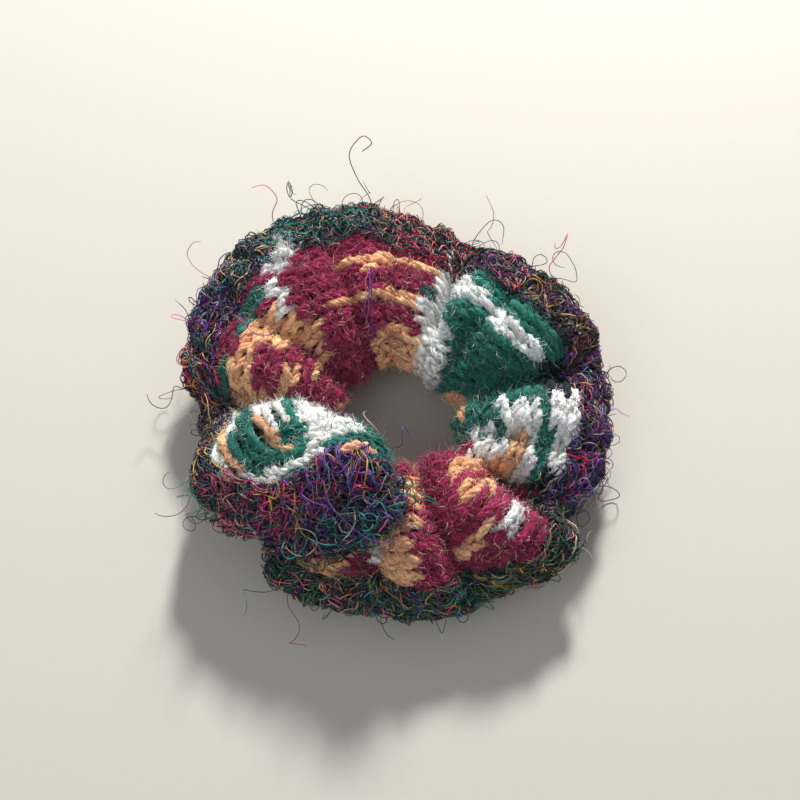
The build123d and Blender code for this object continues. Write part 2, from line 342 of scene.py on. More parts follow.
class Bag:
    def __init__(self):
        self.v, self.f, self.s, self.m, self.c, self.cell = [], [], [], [], [], []
        self.n = 0
        self.tubes = 0

    def add(self, pts, rad, sides=6, ref=None, tint=None, mat=0):
        """pts (S,K,3), rad (S,K), tint (S,3) or (S,K,3), mat number or (S,)."""
        S, K = pts.shape[:2]
        if S == 0:
            return
        T, A, B = frames(pts, ref)
        th = np.arange(sides) * TAU / sides
        ring = (pts[:, :, None] + rad[:, :, None, None]
                * (np.cos(th)[None, None, :, None] * A[:, :, None]
                   + np.sin(th)[None, None, :, None] * B[:, :, None]))
        base = self.n + np.arange(S)[:, None, None] * (K * sides)
        k = np.arange(K - 1)[None, :, None]
        s = np.arange(sides)[None, None, :]
        s2 = (s + 1) % sides
        q = np.stack(np.broadcast_arrays(base + k * sides + s, base + k * sides + s2,
                                         base + (k + 1) * sides + s2, base + (k + 1) * sides + s), -1)
        cap0 = base[:, :, 0] + np.arange(sides)[None, ::-1]
        cap1 = base[:, :, 0] + (K - 1) * sides + np.arange(sides)[None]
        self.v.append(ring.reshape(-1, 3))
        quads = q.reshape(-1, 4)
        self.f += [quads.reshape(-1), cap0.reshape(-1), cap1.reshape(-1)]
        self.s += [np.full(len(quads), 4), np.full(S, sides), np.full(S, sides)]
        mat = np.broadcast_to(np.asarray(mat), (S,))
        self.m += [np.repeat(mat, (K - 1) * sides), mat, mat]
        if tint is None:
            tint = np.ones((S, 3))
        tint = np.asarray(tint, float)
        if tint.ndim == 2:
            tint = np.repeat(tint[:, None], K, 1)
        self.c.append(np.repeat(tint[:, :, None], sides, 2).reshape(-1, 3))
        # map cells: (x, y) inside the cell, and the cell's number
        cid = self.tubes + np.arange(S)
        x0 = np.broadcast_to(k / (K - 1.0), (1, K - 1, sides))
        y0 = np.broadcast_to(s / float(sides), (1, K - 1, sides))
        xs = np.stack([x0, x0, x0 + 1.0 / (K - 1), x0 + 1.0 / (K - 1)], -1)
        ys = np.stack([y0, y0 + 1.0 / sides, y0 + 1.0 / sides, y0], -1)
        xy = np.stack([xs, ys], -1).reshape(1, -1, 2)
        xy = np.repeat(xy, S, 0).reshape(-1, 2)
        cc = np.repeat(cid, (K - 1) * sides * 4)
        self.cell.append(np.concatenate([xy, cc[:, None]], 1))
        ca = np.stack([0.02 + 0.02 * np.cos(th), 0.5 + 0.4 * np.sin(th)], 1)
        cb = np.stack([0.98 + 0.02 * np.cos(th), 0.5 + 0.4 * np.sin(th)], 1)
        for cap, xy1 in ((cap0, ca[::-1]), (cap1, cb)):
            xy2 = np.repeat(xy1[None], S, 0).reshape(-1, 2)
            self.cell.append(np.concatenate([xy2, np.repeat(cid, sides)[:, None]], 1))
        self.n += S * K * sides
        self.tubes += S

    def triangles(self):
        return int(sum((x - 2).sum() for x in self.s))

    def make(self, name, mats):
        me = bpy.data.meshes.new(name)
        v = world(np.concatenate(self.v)).astype(np.float32)
        f = np.concatenate(self.f).astype(np.int32)
        s = np.concatenate(self.s).astype(np.int32)
        m = np.concatenate(self.m).astype(np.int32)
        c = np.concatenate(self.c)
        cell = np.concatenate(self.cell)
        me.vertices.add(len(v))
        me.vertices.foreach_set("co", v.ravel())
        me.loops.add(len(f))
        me.loops.foreach_set("vertex_index", f)
        me.polygons.add(len(s))
        start = np.concatenate([[0], np.cumsum(s)[:-1]]).astype(np.int32)
        me.polygons.foreach_set("loop_start", start)
        me.polygons.foreach_set("material_index", m)
        me.polygons.foreach_set("use_smooth", np.ones(len(s), bool))
        side = int(math.ceil(math.sqrt(self.tubes)))
        gx, gy = cell[:, 2] % side, cell[:, 2] // side
        uv = np.stack([(gx + 0.12 + 0.76 * cell[:, 0]) / side,
                       (gy + 0.12 + 0.76 * cell[:, 1]) / side], 1)
        me.uv_layers.new(name="OFBake").data.foreach_set("uv", uv.astype(np.float32).ravel())
        att = me.color_attributes.new(name="tint", type="FLOAT_COLOR", domain="POINT")
        att.data.foreach_set("color", np.concatenate([c, np.ones((len(c), 1))], 1).astype(np.float32).ravel())
        for x in mats:
            me.materials.append(x)
        me.update(calc_edges=True)
        ob = bpy.data.objects.new(name, me)
        bpy.context.scene.collection.objects.link(ob)
        return ob


def grid_mesh(name, P, tint, mat, closed_u, closed_w):
    """A smooth surface from a grid of points (U, W, 3)."""
    U, W = P.shape[:2]
    iu = np.arange(U if closed_u else U - 1)
    iw = np.arange(W if closed_w else W - 1)
    a, b = np.meshgrid(iu, iw, indexing="ij")
    a1, b1 = (a + 1) % U, (b + 1) % W
    q = np.stack([a * W + b, a1 * W + b, a1 * W + b1, a * W + b1], -1).reshape(-1, 4)
    uvq = np.stack([np.stack([a / U, b / W], -1), np.stack([(a + 1) / U, b / W], -1),
                    np.stack([(a + 1) / U, (b + 1) / W], -1), np.stack([a / U, (b + 1) / W], -1)], 2)
    me = bpy.data.meshes.new(name)
    v = world(P.reshape(-1, 3)).astype(np.float32)
    me.vertices.add(len(v))
    me.vertices.foreach_set("co", v.ravel())
    me.loops.add(q.size)
    me.loops.foreach_set("vertex_index", q.ravel().astype(np.int32))
    me.polygons.add(len(q))
    me.polygons.foreach_set("loop_start", np.arange(0, q.size, 4, dtype=np.int32))
    me.polygons.foreach_set("use_smooth", np.ones(len(q), bool))
    me.uv_layers.new(name="OFBake").data.foreach_set(
        "uv", (0.01 + 0.98 * uvq.reshape(-1, 2)).astype(np.float32).ravel())
    if tint is not None:
        att = me.color_attributes.new(name="tint", type="FLOAT_COLOR", domain="POINT")
        c = np.concatenate([tint.reshape(-1, 3), np.ones((U * W, 1))], 1)
        att.data.foreach_set("color", c.astype(np.float32).ravel())
    me.materials.append(mat)
    me.update(calc_edges=True)
    ob = bpy.data.objects.new(name, me)
    bpy.context.scene.collection.objects.link(ob)
    return ob


# ---------------------------------------------------------------------------
# Colours. The yarn is self-striping, so its colours fall in patches. Each
# patch is an outline in the view from the front at 65 degrees: millimetres to
# the right and up, from the middle of the hole. F patches lie on the standing
# lobe, R patches on the rest of the ring. Patches of the dark colour are
# painted shade in the hollows, not yarn.
# ---------------------------------------------------------------------------
def lin(r, g, b):
    c = np.array([r, g, b], float) / 255.0
    return np.where(c <= 0.04045, c / 12.92, ((c + 0.055) / 1.055) ** 2.4)


YARN = {
    "wine": lin(150, 31, 78),
    "green": lin(26, 110, 98),
    "peach": lin(241, 182, 138),
    "white": lin(236, 238, 236),
    # painted shade, not a yarn: a dark colour standing in for shadow in hollows, in the lip's mouth and under the
    # edging's pile
    "dark": lin(14, 34, 34),
}
YARN_NAMES = list(YARN)
YARN_RGB = np.array([YARN[n] for n in YARN_NAMES])
PATCHES = [
    ("R", "wine", [(-52.4, 44.5), (-18.3, 51.1), (10.5, 47.2), (18.3, 31.4), (10.5, 31.4), (6.6, 19.7), (-6.6, 15.7), (-14.4, 5.2), (-45.9, 5.2), (-53.7, 7.9), (-55, 23.6)]),
    ("R", "peach", [(-45.9, 9.2), (-39.3, 31.4), (-36.2, 31.4), (-36.2, 23.6), (-41.9, 6.6)]),
    ("R", "green", [(-49.3, 5.2), (-44, 23.6), (-38.8, 34.1), (-36.2, 32), (-39.3, 23.6), (-44, 5.2)]),
    ("R", "green", [(6.6, 35.4), (18.3, 39.3), (31.4, 35.4), (41.9, 26.2), (49.8, 15.7), (49.8, 5.2), (41.9, 2.6), (31.4, 2.6), (21, -2.6), (13.1, 5.2), (8.4, 5.2)]),
    ("R", "white", [(26.2, 5.8), (41.9, 9.2), (49.8, 5.2), (52.4, -13.1), (44.5, -31.4), (36.7, -21), (26.2, -15.7), (17.8, -9.2), (19.7, 0)]),
    ("R", "wine", [(-1.3, -14.4), (10.5, -11.8), (23.6, -15.7), (38, -26.2), (41.9, -32.8), (31.4, -40.6), (10.5, -44.5), (0, -44.5), (-1.3, -28.8)]),
    ("R", "peach", [(-7.3, -18.3), (5.2, -15.2), (3.9, -36.7), (0, -47.2), (-9.2, -46.6), (-13.1, -39.3), (-8.4, -31.4)]),
    ("R", "wine", [(-12.6, -35.4), (-5.2, -34.6), (-3.9, -45.1), (-12.6, -44.5)]),
    ("R", "peach", [(-19.7, 41.4), (-3.9, 43.8), (8.4, 41.4), (10, 38.3), (0, 39.8), (-13.1, 39.8), (-18.9, 38.8)]),
    ("R", "peach", [(-21, 32.5), (-13.1, 32.5), (-5.2, 34.6), (3.9, 33.5), (8.4, 31.4), (8.4, 28.8), (1.3, 30.4), (-6.6, 30.9), (-14.4, 29.3), (-20.4, 29.9)]),
    ("R", "peach", [(-34.6, 28.3), (-29.3, 29.9), (-26.2, 25.7), (-28.3, 19.7), (-32.5, 16.8), (-36.2, 10.5), (-40.3, 7.3), (-40.9, 12.6), (-37.7, 19.7)]),
    ("R", "peach", [(-26.2, 25.7), (-21.5, 26.7), (-20.4, 19.7), (-24.6, 13.6), (-26.7, 9.2), (-32.5, 7.3), (-30.9, 12.6), (-27.2, 18.3)]),
    ("R", "peach", [(-21, 19.7), (-17.8, 20.4), (-18.3, 15.2), (-21, 10.5), (-23.1, 10.5), (-21.5, 15.2)]),
    ("R", "peach", [(-5.8, 23.6), (-2.1, 26.7), (2.1, 25.7), (5.2, 19.7), (7.3, 12.6), (3.1, 11.8), (-2.1, 17.8)]),
    ("R", "peach", [(-7.3, 21.5), (0, 22.3), (8.4, 18.3), (10.5, 5.2), (7.9, 3.1), (0, 8.4), (-6.8, 15.2)]),
    ("R", "peach", [(-46.6, 10.5), (-44, 19.7), (-39.8, 25.7), (-37.7, 23.6), (-40.9, 15.2), (-43.5, 7.3)]),
    ("R", "white", [(-35.6, 41.4), (-30.9, 41.4), (-28.6, 32), (-30.7, 27.8), (-33.5, 31.4)]),
    ("R", "white", [(10.5, 36.7), (18.3, 37.7), (19.4, 32), (13.6, 31.4), (10.5, 32.5)]),
    ("R", "white", [(18.3, 35.6), (23.1, 33.5), (22, 29.3), (17.3, 32)]),
    ("R", "white", [(23.1, 30.9), (28.3, 28.3), (27.2, 23.6), (22, 26.7)]),
    ("R", "white", [(27.8, 26.7), (33.5, 22.5), (32, 18.3), (26.7, 22.5)]),
    ("R", "white", [(33, 21), (39.8, 16.2), (38.8, 13.1), (32, 17.3)]),
    ("R", "white", [(36.7, 25.7), (39.8, 24.6), (39.3, 21.5), (36.7, 22)]),
    ("R", "white", [(6.3, 31.4), (12.1, 32.5), (12.6, 19.7), (10.5, 5.2), (6.3, 3.9), (5.2, 18.3)]),
    ("R", "peach", [(8.4, 9.2), (18.3, 5.2), (16.2, -1.3), (10.5, 3.1)]),
    ("R", "wine", [(18.3, 28.3), (21, 28.3), (21, 24.6), (18.3, 24.6)]),
    # painted shade in a hollow between lobes
    ("R", "dark", [(38, 13.1), (45.9, 12.6), (45.1, 7.3), (38.8, 7.3)]),
    ("R", "green", [(35.6, 5.2), (39.8, 7.3), (40.9, -5.2), (38.8, -15.2), (34.6, -17.8), (34.1, -13.1), (36.7, -5.2)]),
    ("R", "green", [(18.3, 2.6), (27.5, 4.7), (26.2, -5.2), (23.1, -7.3), (20.4, -2.6)]),
    ("R", "white", [(22, -2.1), (26.2, -1), (25.7, -7.3), (22, -7.9)]),
    ("R", "peach", [(28.3, -3.9), (32.5, -3.1), (33.5, -11), (29.9, -13.1), (28.3, -9.2)]),
    ("R", "peach", [(21, -9.2), (26.2, -10), (29.3, -14.4), (26.2, -16.2), (22, -13.1)]),
    ("R", "white", [(39.8, 5.2), (44, 3.9), (44.5, -2.6), (40.9, -5.2)]),
    ("R", "peach", [(38, -13.1), (40.9, -13.1), (40.9, -18.3), (38, -18.9)]),
    ("R", "peach", [(11.8, -10.5), (23.6, -9.2), (24.1, -13.1), (12.6, -15.2)]),
    ("R", "peach", [(13.1, -16.2), (24.1, -15.7), (24.6, -19.9), (13.6, -19.4)]),
    ("R", "white", [(22, -26.7), (31.4, -21.5), (38, -24.1), (37.2, -26.7), (31.4, -25.2), (23.6, -29.9)]),
    ("R", "white", [(28.8, -27.8), (34.1, -26.2), (35.1, -28.8), (29.9, -30.4)]),
    ("R", "peach", [(13.1, -35.4), (16.2, -29.3), (22.5, -28.3), (21.5, -32), (17.3, -36.7)]),
    ("R", "white", [(-10, -31.4), (-5.2, -32.8), (-4.2, -38.3), (-8.4, -38.3)]),
    ("F", "green", [(-53.7, 6.3), (0, 10.5), (3.9, -1.3), (3.1, -26.2), (-18.3, -26.2), (-53.7, -26.2)]),
    ("F", "white", [(-39.3, 5.8), (-36.2, 8.9), (-26.2, 10.5), (-16.2, 8.9), (-14.4, 4.2), (-17, -1), (-20.4, -2.6), (-21.5, 2.1), (-26.2, 4.2), (-31.4, 2.6), (-36.2, 2.1), (-39.8, 2.6)]),
    ("F", "green", [(-31.2, 5.8), (-28, 6.3), (-25.4, 2.1), (-27, -1), (-29.9, 1.6)]),
    ("F", "white", [(-27, -10), (-25.2, -5.2), (-20.4, -1.6), (-14.9, 0), (-13.9, -2.1), (-18.3, -4.2), (-22, -8.4), (-24.9, -13.1)]),
    ("F", "white", [(-26.2, 4.2), (-21.5, 4.7), (-19.4, -5.2), (-23.1, -8.4), (-25.4, -5.2)]),
    ("F", "peach", [(-16.8, -2.9), (-14.4, 0), (-8.9, 1), (-2.1, -2.1), (0.5, -5.8), (-1, -7.9), (-4.2, -5.2), (-10, -2.6), (-14.4, -3.1)]),
    ("F", "peach", [(-14.1, -8.4), (-12.6, -5.8), (-8.4, -5.2), (-7.3, -7.3), (-10.5, -8.4)]),
    ("F", "peach", [(-4.5, -6.8), (-2.1, -5.2), (0.5, -10.5), (1, -18.3), (-0.8, -20.4), (-2.6, -13.1)]),
    ("F", "white", [(-48.2, -7.9), (-46.1, -10), (-43, -12.1), (-38.8, -13.6), (-34.6, -13.1), (-30.4, -10), (-26.7, -8.4), (-25.7, -11), (-29.3, -14.7), (-36.2, -17.3), (-42.4, -17.3), (-47.7, -14.1)]),
    ("F", "white", [(-46.6, -4.2), (-46.1, 1), (-43, 4.2), (-39.3, 5.8), (-37.7, 3.7), (-40.9, 1.6), (-43, -1), (-44.5, -5.2), (-45.6, -8.4), (-47.7, -7.9)]),
    ("F", "peach", [(-47.4, -3.1), (-45.1, -1), (-44, -3.1), (-44.5, -5.8), (-41.9, -9.4), (-39.3, -11.5), (-40.9, -13.1), (-44.5, -12.1), (-47.2, -8.4)]),
    ("F", "peach", [(-39.3, 1), (-37.2, 3.1), (-35.1, 1), (-33.5, -2.1), (-30.4, -5.2), (-29.9, -8.4), (-32.5, -7.3), (-35.6, -4.7), (-38.3, -2.1)]),
    # painted shade in the hollows between lobes
    ("R", "dark", [(33.5, -15.7), (38, -16.2), (43.5, -19.4), (50.3, -23.1), (47.2, -28.3), (39.8, -24.6), (35.1, -20.4)]),
    ("R", "dark", [(36.2, 14.1), (41.9, 13.6), (45.9, 10.5), (45.1, 5.8), (39.8, 5.8), (35.1, 8.9)]),
]
VIEW_EL, VIEW_D = math.radians(65.0), 295.9
_v = np.array([0, math.cos(VIEW_EL), -math.sin(VIEW_EL)])
_w3 = np.array([0, math.sin(VIEW_EL), math.cos(VIEW_EL)])


def plan(p):
    """Millimetres right and up in the view from the front at 65 degrees."""
    q = np.asarray(p, float) - np.array([0, 0, 12.0])
    s = VIEW_D / (VIEW_D + q @ _v)
    return s * q[..., 0], s * (q @ _w3)


def inside(x, y, poly):
    poly = np.asarray(poly, float)
    r = np.zeros(x.shape, bool)
    x1, y1 = poly[:, 0], poly[:, 1]
    x2, y2 = np.roll(x1, -1), np.roll(y1, -1)
    for a, b, c, d in zip(x1, y1, x2, y2):
        cut = (b > y) != (d > y)
        with np.errstate(divide="ignore", invalid="ignore"):
            r ^= cut & (x < (c - a) * (y - b) / (d - b) + a)
    return r


_ang_u = np.degrees(np.unwrap(ang)) % 360


def angle_of(u):
    return _ang_u[(np.mod(u, 1.0) * NU).astype(int) % NU]


# the edging's pile lies over the outer part of the strip: how wide, above and below
BAND_A = np.array([0, 30, 60, 90, 130, 165, 178, 186, 194, 203, 210, 219, 224, 246, 262, 290, 316, 330, 360.0])
BAND_T = np.array([11.5, 11.5, 12.0, 13.0, 13.5, 13.0, 9.0, 7.0, 8.0, 12.0, 13.0, 12.0, 8.0, 6.5, 9.5, 10.0, 10.5, 11.0, 11.5])
BAND_B = np.array([8.0, 8.0, 8.0, 8.0, 8.0, 8.0, 8.0, 9.0, 12.0, 20.0, 24.0, 26.0, 26.0, 18.0, 8.0, 8.0, 8.0, 8.0, 8.0])


def yarn_colour(u, w):
    """Index into the colour table (yarn colours and the painted shade) at strip positions."""
    u, w = np.broadcast_arrays(np.asarray(u, float), np.asarray(w, float))
    p, _ = on_strip(u, w, np.full(u.shape, 1.3))
    x, y = plan(p)
    a = angle_of(u)
    lobe = (a > 182) & (a < 227)
    # the strip's general sequence, for the sides that no patch reaches
    r = rng_for("sequence")
    edges = np.array([0, 30, 66, 74, 150, 186, 222, 240, 262, 325, 361])
    seq = ["white", "green", "white", "wine", "peach", "green", "wine", "peach", "wine", "green"]
    base = np.zeros(u.shape, int)
    wob = 7 * np.sin(w * 23.0 + a * 0.05) + 5 * np.sin(w * 51.0 + 1.3)
    for i, nm in enumerate(seq):
        base = np.where(((a + wob) % 360 >= edges[i]) & ((a + wob) % 360 < edges[i + 1]),
                        YARN_NAMES.index(nm), base)
    out = base.copy()
    # short runs of another colour on the underside
    under = w < 0.45
    run = np.sin(a * 0.35 + 40 * np.round(w * 17) * 0.61) + 0.6 * np.sin(a * 0.11 + w * 60)
    out = np.where(under & (run > 1.0), YARN_NAMES.index("peach"), out)
    out = np.where(under & (run < -1.12), YARN_NAMES.index("white"), out)
    # painted shade: inside the folded lip the knit is only ever seen in shade, so it takes the painted-shade colour
    mouth = (a > 200) & (a < 246) & (w < 0.5)
    out = np.where(mouth, YARN_NAMES.index("dark"), out)
    top = w >= 0.45
    for group, nm, poly in PATCHES:
        m = inside(x, y, poly) & top & (lobe if group == "F" else ~lobe)
        out = np.where(m, YARN_NAMES.index(nm), out)
    # the patch over the left lobe is crossed by rows of the ground colour
    row = np.round((w - 0.060) / (0.880 / 17)).astype(int)
    cross = (a > 118) & (a < 176) & top & (out == YARN_NAMES.index("peach")) & (row % 2 == 1)
    cross &= np.sin(a * 0.9 + row * 2.1) < 0.15
    out = np.where(cross, YARN_NAMES.index("wine"), out)
    # painted shade: under the edging's pile the knit takes the painted-shade colour, so gaps in the pile read as shadow
    wide = WIDTH[(np.mod(u, 1.0) * NU).astype(int) % NU]
    pile_painted_shade = ((1 - w) * wide < np.interp(a, BAND_A, BAND_T) - 1.6) | (w * wide < np.interp(a, BAND_A, BAND_B) - 1.6)
    out = np.where(pile_painted_shade, YARN_NAMES.index("dark"), out)
    return out


# ---------------------------------------------------------------------------
# Materials
# ---------------------------------------------------------------------------
def new_material(name, rough=0.9, spec=0.2, sheen=0.0, sheen_rough=0.5, base=(0.5, 0.5, 0.5)):
    m = bpy.data.materials.new(name)
    m.use_nodes = True
    b = m.node_tree.nodes["Principled BSDF"]
    b.inputs["Base Color"].default_value = (*base, 1)
    b.inputs["Roughness"].default_value = rough
    b.inputs["Specular IOR Level"].default_value = spec
    b.inputs["Sheen Weight"].default_value = sheen
    b.inputs["Sheen Roughness"].default_value = sheen_rough
    return m, m.node_tree, b


def mottled(name, scale, low, high, fine, bump, rough_lo, rough_hi, **kw):
    """Colour from the tint attribute, mottled at two scales, with roughness and bump."""
    m, nt, b = new_material(name, **kw)
    n, l = nt.nodes, nt.links
    att = n.new("ShaderNodeAttribute")
    att.attribute_name = "tint"
    tc = n.new("ShaderNodeTexCoord")
    no = n.new("ShaderNodeTexNoise")
    no.inputs["Scale"].default_value = scale
    no.inputs["Detail"].default_value = 4.0
    no.inputs["Roughness"].default_value = 0.65
    l.new(tc.outputs["Object"], no.inputs["Vector"])
    ramp = n.new("ShaderNodeMapRange")
    ramp.inputs["From Min"].default_value = 0.3
    ramp.inputs["From Max"].default_value = 0.7
    ramp.inputs["To Min"].default_value = low
    ramp.inputs["To Max"].default_value = high
    l.new(no.outputs["Fac"], ramp.inputs["Value"])
    mul = n.new("ShaderNodeVectorMath")
    mul.operation = "SCALE"
    l.new(att.outputs["Color"], mul.inputs[0])
    l.new(ramp.outputs["Result"], mul.inputs["Scale"])
    l.new(mul.outputs["Vector"], b.inputs["Base Color"])
    nf = n.new("ShaderNodeTexNoise")
    nf.inputs["Scale"].default_value = fine
    nf.inputs["Detail"].default_value = 3.0
    l.new(tc.outputs["Object"], nf.inputs["Vector"])
    mr = n.new("ShaderNodeMapRange")
    mr.inputs["To Min"].default_value = rough_lo
    mr.inputs["To Max"].default_value = rough_hi
    l.new(nf.outputs["Fac"], mr.inputs["Value"])
    l.new(mr.outputs["Result"], b.inputs["Roughness"])
    bu = n.new("ShaderNodeBump")
    bu.inputs["Strength"].default_value = bump
    bu.inputs["Distance"].default_value = 0.0003
    l.new(nf.outputs["Fac"], bu.inputs["Height"])
    l.new(bu.outputs["Normal"], b.inputs["Normal"])
    return m


MAT_YARN = mottled("brushed_yarn", 900.0, 0.72, 1.22, 3800.0, 0.7, 0.82, 1.0, sheen=0.18, spec=0.12)
# painted shade: the ground between the stitches takes the yarn colours at 0.35 to 0.85, standing in for the shadow in
# the gaps
MAT_GAP_PAINTED_SHADE = mottled("gap_yarn_painted_shade", 500.0, 0.35, 0.85, 2600.0, 0.9, 0.9, 1.0, sheen=0.1, spec=0.05)
MAT_THREAD = mottled("novelty_thread", 700.0, 0.7, 1.3, 5000.0, 0.3, 0.26, 0.5, sheen=0.1, spec=0.65)
MAT_SEAM = mottled("seam_yarn", 900.0, 0.8, 1.15, 3800.0, 0.7, 0.85, 1.0, sheen=0.2, spec=0.12)
MAT_SLEEVE = mottled("elastic_braid", 1500.0, 0.6, 1.3, 6000.0, 0.8, 0.6, 0.85, spec=0.25)
MAT_RUBBER = mottled("elastic_rubber", 300.0, 0.85, 1.1, 2500.0, 0.3, 0.6, 0.8, spec=0.3)
# Three copies of each yarn colour for the brushed fibres, at 0.75, 1.15 and 1.75: shaded and lit copies, the lighter
# ones painted highlight standing in for back-lit fuzz. Each fibre takes one at random.
HALO_LIT_AND_SHADED = []
for nm in YARN_NAMES:
    c = YARN[nm]
    for k, f in enumerate((0.75, 1.15, 1.75)):
        m, nt, b = new_material("halo_%s_%d" % (nm, k), rough=1.0, spec=0.05, sheen=0.3,
                                base=tuple(np.clip(c * f + 0.015 * k, 0, 0.95)))
        HALO_LIT_AND_SHADED.append(m)


def bend(ob, part):
    if part == "front":
        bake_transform(ob)
    else:
        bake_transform(ob)
    return ob


# ---------------------------------------------------------------------------
# Knitted cover
# ---------------------------------------------------------------------------
W0, W1, NR = 0.060, 0.940, 18
DW = (W1 - W0) / (NR - 1)
PITCH = 1.0 / N_ST


def stitches():
    """Both legs of every stitch: control points, radius, colour."""
    r = rng_for("stitches")
    jj, ii, ss = np.meshgrid(np.arange(N_ST), np.arange(NR), [-1.0, 1.0], indexing="ij")
    jj, ii, ss = jj.ravel(), ii.ravel(), ss.ravel()
    S = len(jj)
    row_shift = r.uniform(0, 1, NR)[ii]
    uc = (jj + row_shift) * PITCH
    wc = W0 + ii * DW
    du = np.array([-0.40, 0.0, 0.45, 0.92, 1.30])
    dw = np.array([0.08, 0.16, 0.29, 0.37, 0.30])
    dh = np.array([-1.3, 0.1, 0.95, 0.55, -1.1])
    CU = uc[:, None] + du[None] * PITCH + r.normal(0, 0.05, (S, 5)) * PITCH
    CW = wc[:, None] + ss[:, None] * dw[None] * DW + r.normal(0, 0.035, (S, 5)) * DW
    CH = dh[None] + r.normal(0, 0.16, (S, 5)) + r.normal(0, 0.15, (S, 1))
    pitch_mm = np.interp(0, [0], [0]) + local_pitch(uc + 0.4 * PITCH, wc)
    rad = np.clip(0.27 * pitch_mm, 0.95, 1.42) * r.uniform(0.9, 1.1, S)
    col = yarn_colour(uc + 0.45 * PITCH, wc + ss * 0.25 * DW)
    return CU, CW, CH, rad, col, uc, wc


def local_pitch(u, w):
    i = (np.mod(u, 1.0) * NU).astype(int) % NU
    j = (np.clip(w, 0, 1) * (NWID - 1)).astype(int)
    return LU[i, j] * PITCH


def piece_key(p, w):
    """Which piece something belongs to: front or back, left or right, top or under."""
    return ("front" if p[1] < 0 else "back", "left" if p[0] < 0 else "right",
            "top" if w > 0.47 else "under")


CU, CW, CH, RAD, COL, UC, WC = stitches()
KLEG = 9
uwh = spline(np.stack([CU, CW, CH], 2), KLEG)
leg, leg_n = on_strip(uwh[..., 0], uwh[..., 1], uwh[..., 2])
leg_n = unit(leg_n)
leg[..., 2] = np.maximum(leg[..., 2], RAD[:, None] * 1.05)
taper = np.array([0.62, 0.85, 0.97, 1.0, 1.0, 1.0, 0.97, 0.85, 0.62])
r_tint = rng_for("tint")
_wave = (np.sin(UC * TAU * 9 + WC * 11) + np.sin(UC * TAU * 17 - WC * 19 + 1.0) + np.sin(UC * TAU * 31 + WC * 29 + 2.0)) / 3.0
leg_rgb = YARN_RGB[COL] * (1 + 0.22 * _wave[:, None]) * r_tint.uniform(0.78, 1.22, (len(COL), 1)) * r_tint.normal(1, 0.035, (len(COL), 3))
# keep every leg's colour within range
leg_rgb = np.clip(leg_rgb, 0.003, 0.92)
KEYS = np.array(["_".join(piece_key(p, w)) for p, w in zip(leg.mean(1), WC)])
T_, A_, B_ = frames(leg, leg_n)
slen = np.concatenate([np.zeros((len(leg), 1)),
                       np.cumsum(np.linalg.norm(np.diff(leg, axis=1), axis=2), 1)], 1)
cover_pieces = {"front": [], "back": []}
for key in sorted(set(KEYS)):
    sel = np.where(KEYS == key)[0]
    bag = Bag()
    ph0 = rng_for(key).uniform(0, TAU, len(sel))
    for ply in range(3):
        ph = ph0[:, None] + ply * TAU / 3 + TAU * slen[sel] / 7.0
        rr = RAD[sel][:, None] * taper[None]
        off = 0.50 * rr[..., None] * (np.cos(ph)[..., None] * A_[sel] + np.sin(ph)[..., None] * B_[sel])
        shade = 1.0 + 0.08 * (ply - 1)
        bag.add(leg[sel] + off, 0.60 * rr, sides=5, ref=leg_n[sel], tint=leg_rgb[sel] * shade)
    ob = bag.make("knit_" + key, [MAT_YARN])
    bend(ob, key.split("_")[0])
    cover_pieces[key.split("_")[0]].append(ob)
    print(ob.name, bag.triangles())

# brushed fibres standing off the yarn
def halo(total, name):
    r = rng_for(name)
    vis = np.where(WC > 0.44, 1.0, 0.22)
    wgt = vis * slen[:, -1] * np.array([1.5, 1.0, 0.65, 0.95, 0.25])[COL]
    idx = r.choice(len(leg), size=total, p=wgt / wgt.sum())
    S = len(idx)
    t = r.uniform(0.3, KLEG - 1.3, S)
    i = t.astype(int)
    f = (t - i)[:, None]
    c = leg[idx, i] * (1 - f) + leg[idx, i + 1] * f
    nn, tt, bb = leg_n[idx, i], T_[idx, i], B_[idx, i]
    phi = r.normal(0, 0.85, S)
    out = unit(nn * np.cos(phi)[:, None] + bb * np.sin(phi)[:, None])
    root = c + out * (RAD[idx] * 0.80)[:, None]
    flat_ = r.random(S) < 0.88                      # most fibres lie along the surface
    d = unit(out * np.where(flat_, r.uniform(0.05, 0.5, S), r.uniform(0.5, 1.2, S))[:, None]
             + unit(tt * r.normal(0, 1, S)[:, None] + bb * r.normal(0, 1, S)[:, None]) * 0.8)
    L = (r.gamma(4.0, 0.42, S) + 0.7) * np.where(flat_, 0.8, 1.1) * np.array([1.05, 1.0, 0.85, 0.75, 1.0])[COL[idx]]
    side = unit(r.normal(0, 1, (S, 3)))
    mid = root + d * (0.5 * L)[:, None] + side * (0.14 * L)[:, None] + out * 0.25
    tip = root + unit(d + side * 0.8) * L[:, None] + out * 0.15
    pts = np.stack([root, mid, tip], 1)
    pts[..., 2] = np.maximum(pts[..., 2], 0.15)
    w_ = np.where(flat_, 1.0, 0.60)
    rad = np.stack([0.075 * w_, 0.060 * w_, 0.030 * w_], 1)
    # a fibre now and then comes from the next colour along
    col = COL[idx].copy()
    near_ = np.clip(idx + r.choice([-2 * NR * 2, 2 * NR * 2, -2, 2, -4, 4], S), 0, len(COL) - 1)
    swap = r.random(S) < 0.22
    col[swap] = COL[near_[swap]]
    return idx, pts, rad, col, r.integers(0, 3, S)


idx, hp, hr, hcol, shade = halo(66000, "halo")
for key in sorted(set(KEYS)):
    sel = np.where(KEYS[idx] == key)[0]
    if not len(sel):
        continue
    bag = Bag()
    bag.add(hp[sel], hr[sel], sides=3, mat=hcol[sel] * 3 + shade[sel])
    ob = bag.make("halo_" + key, HALO_LIT_AND_SHADED)
    bend(ob, key.split("_")[0])
    cover_pieces[key.split("_")[0]].append(ob)
    print(ob.name, bag.triangles())

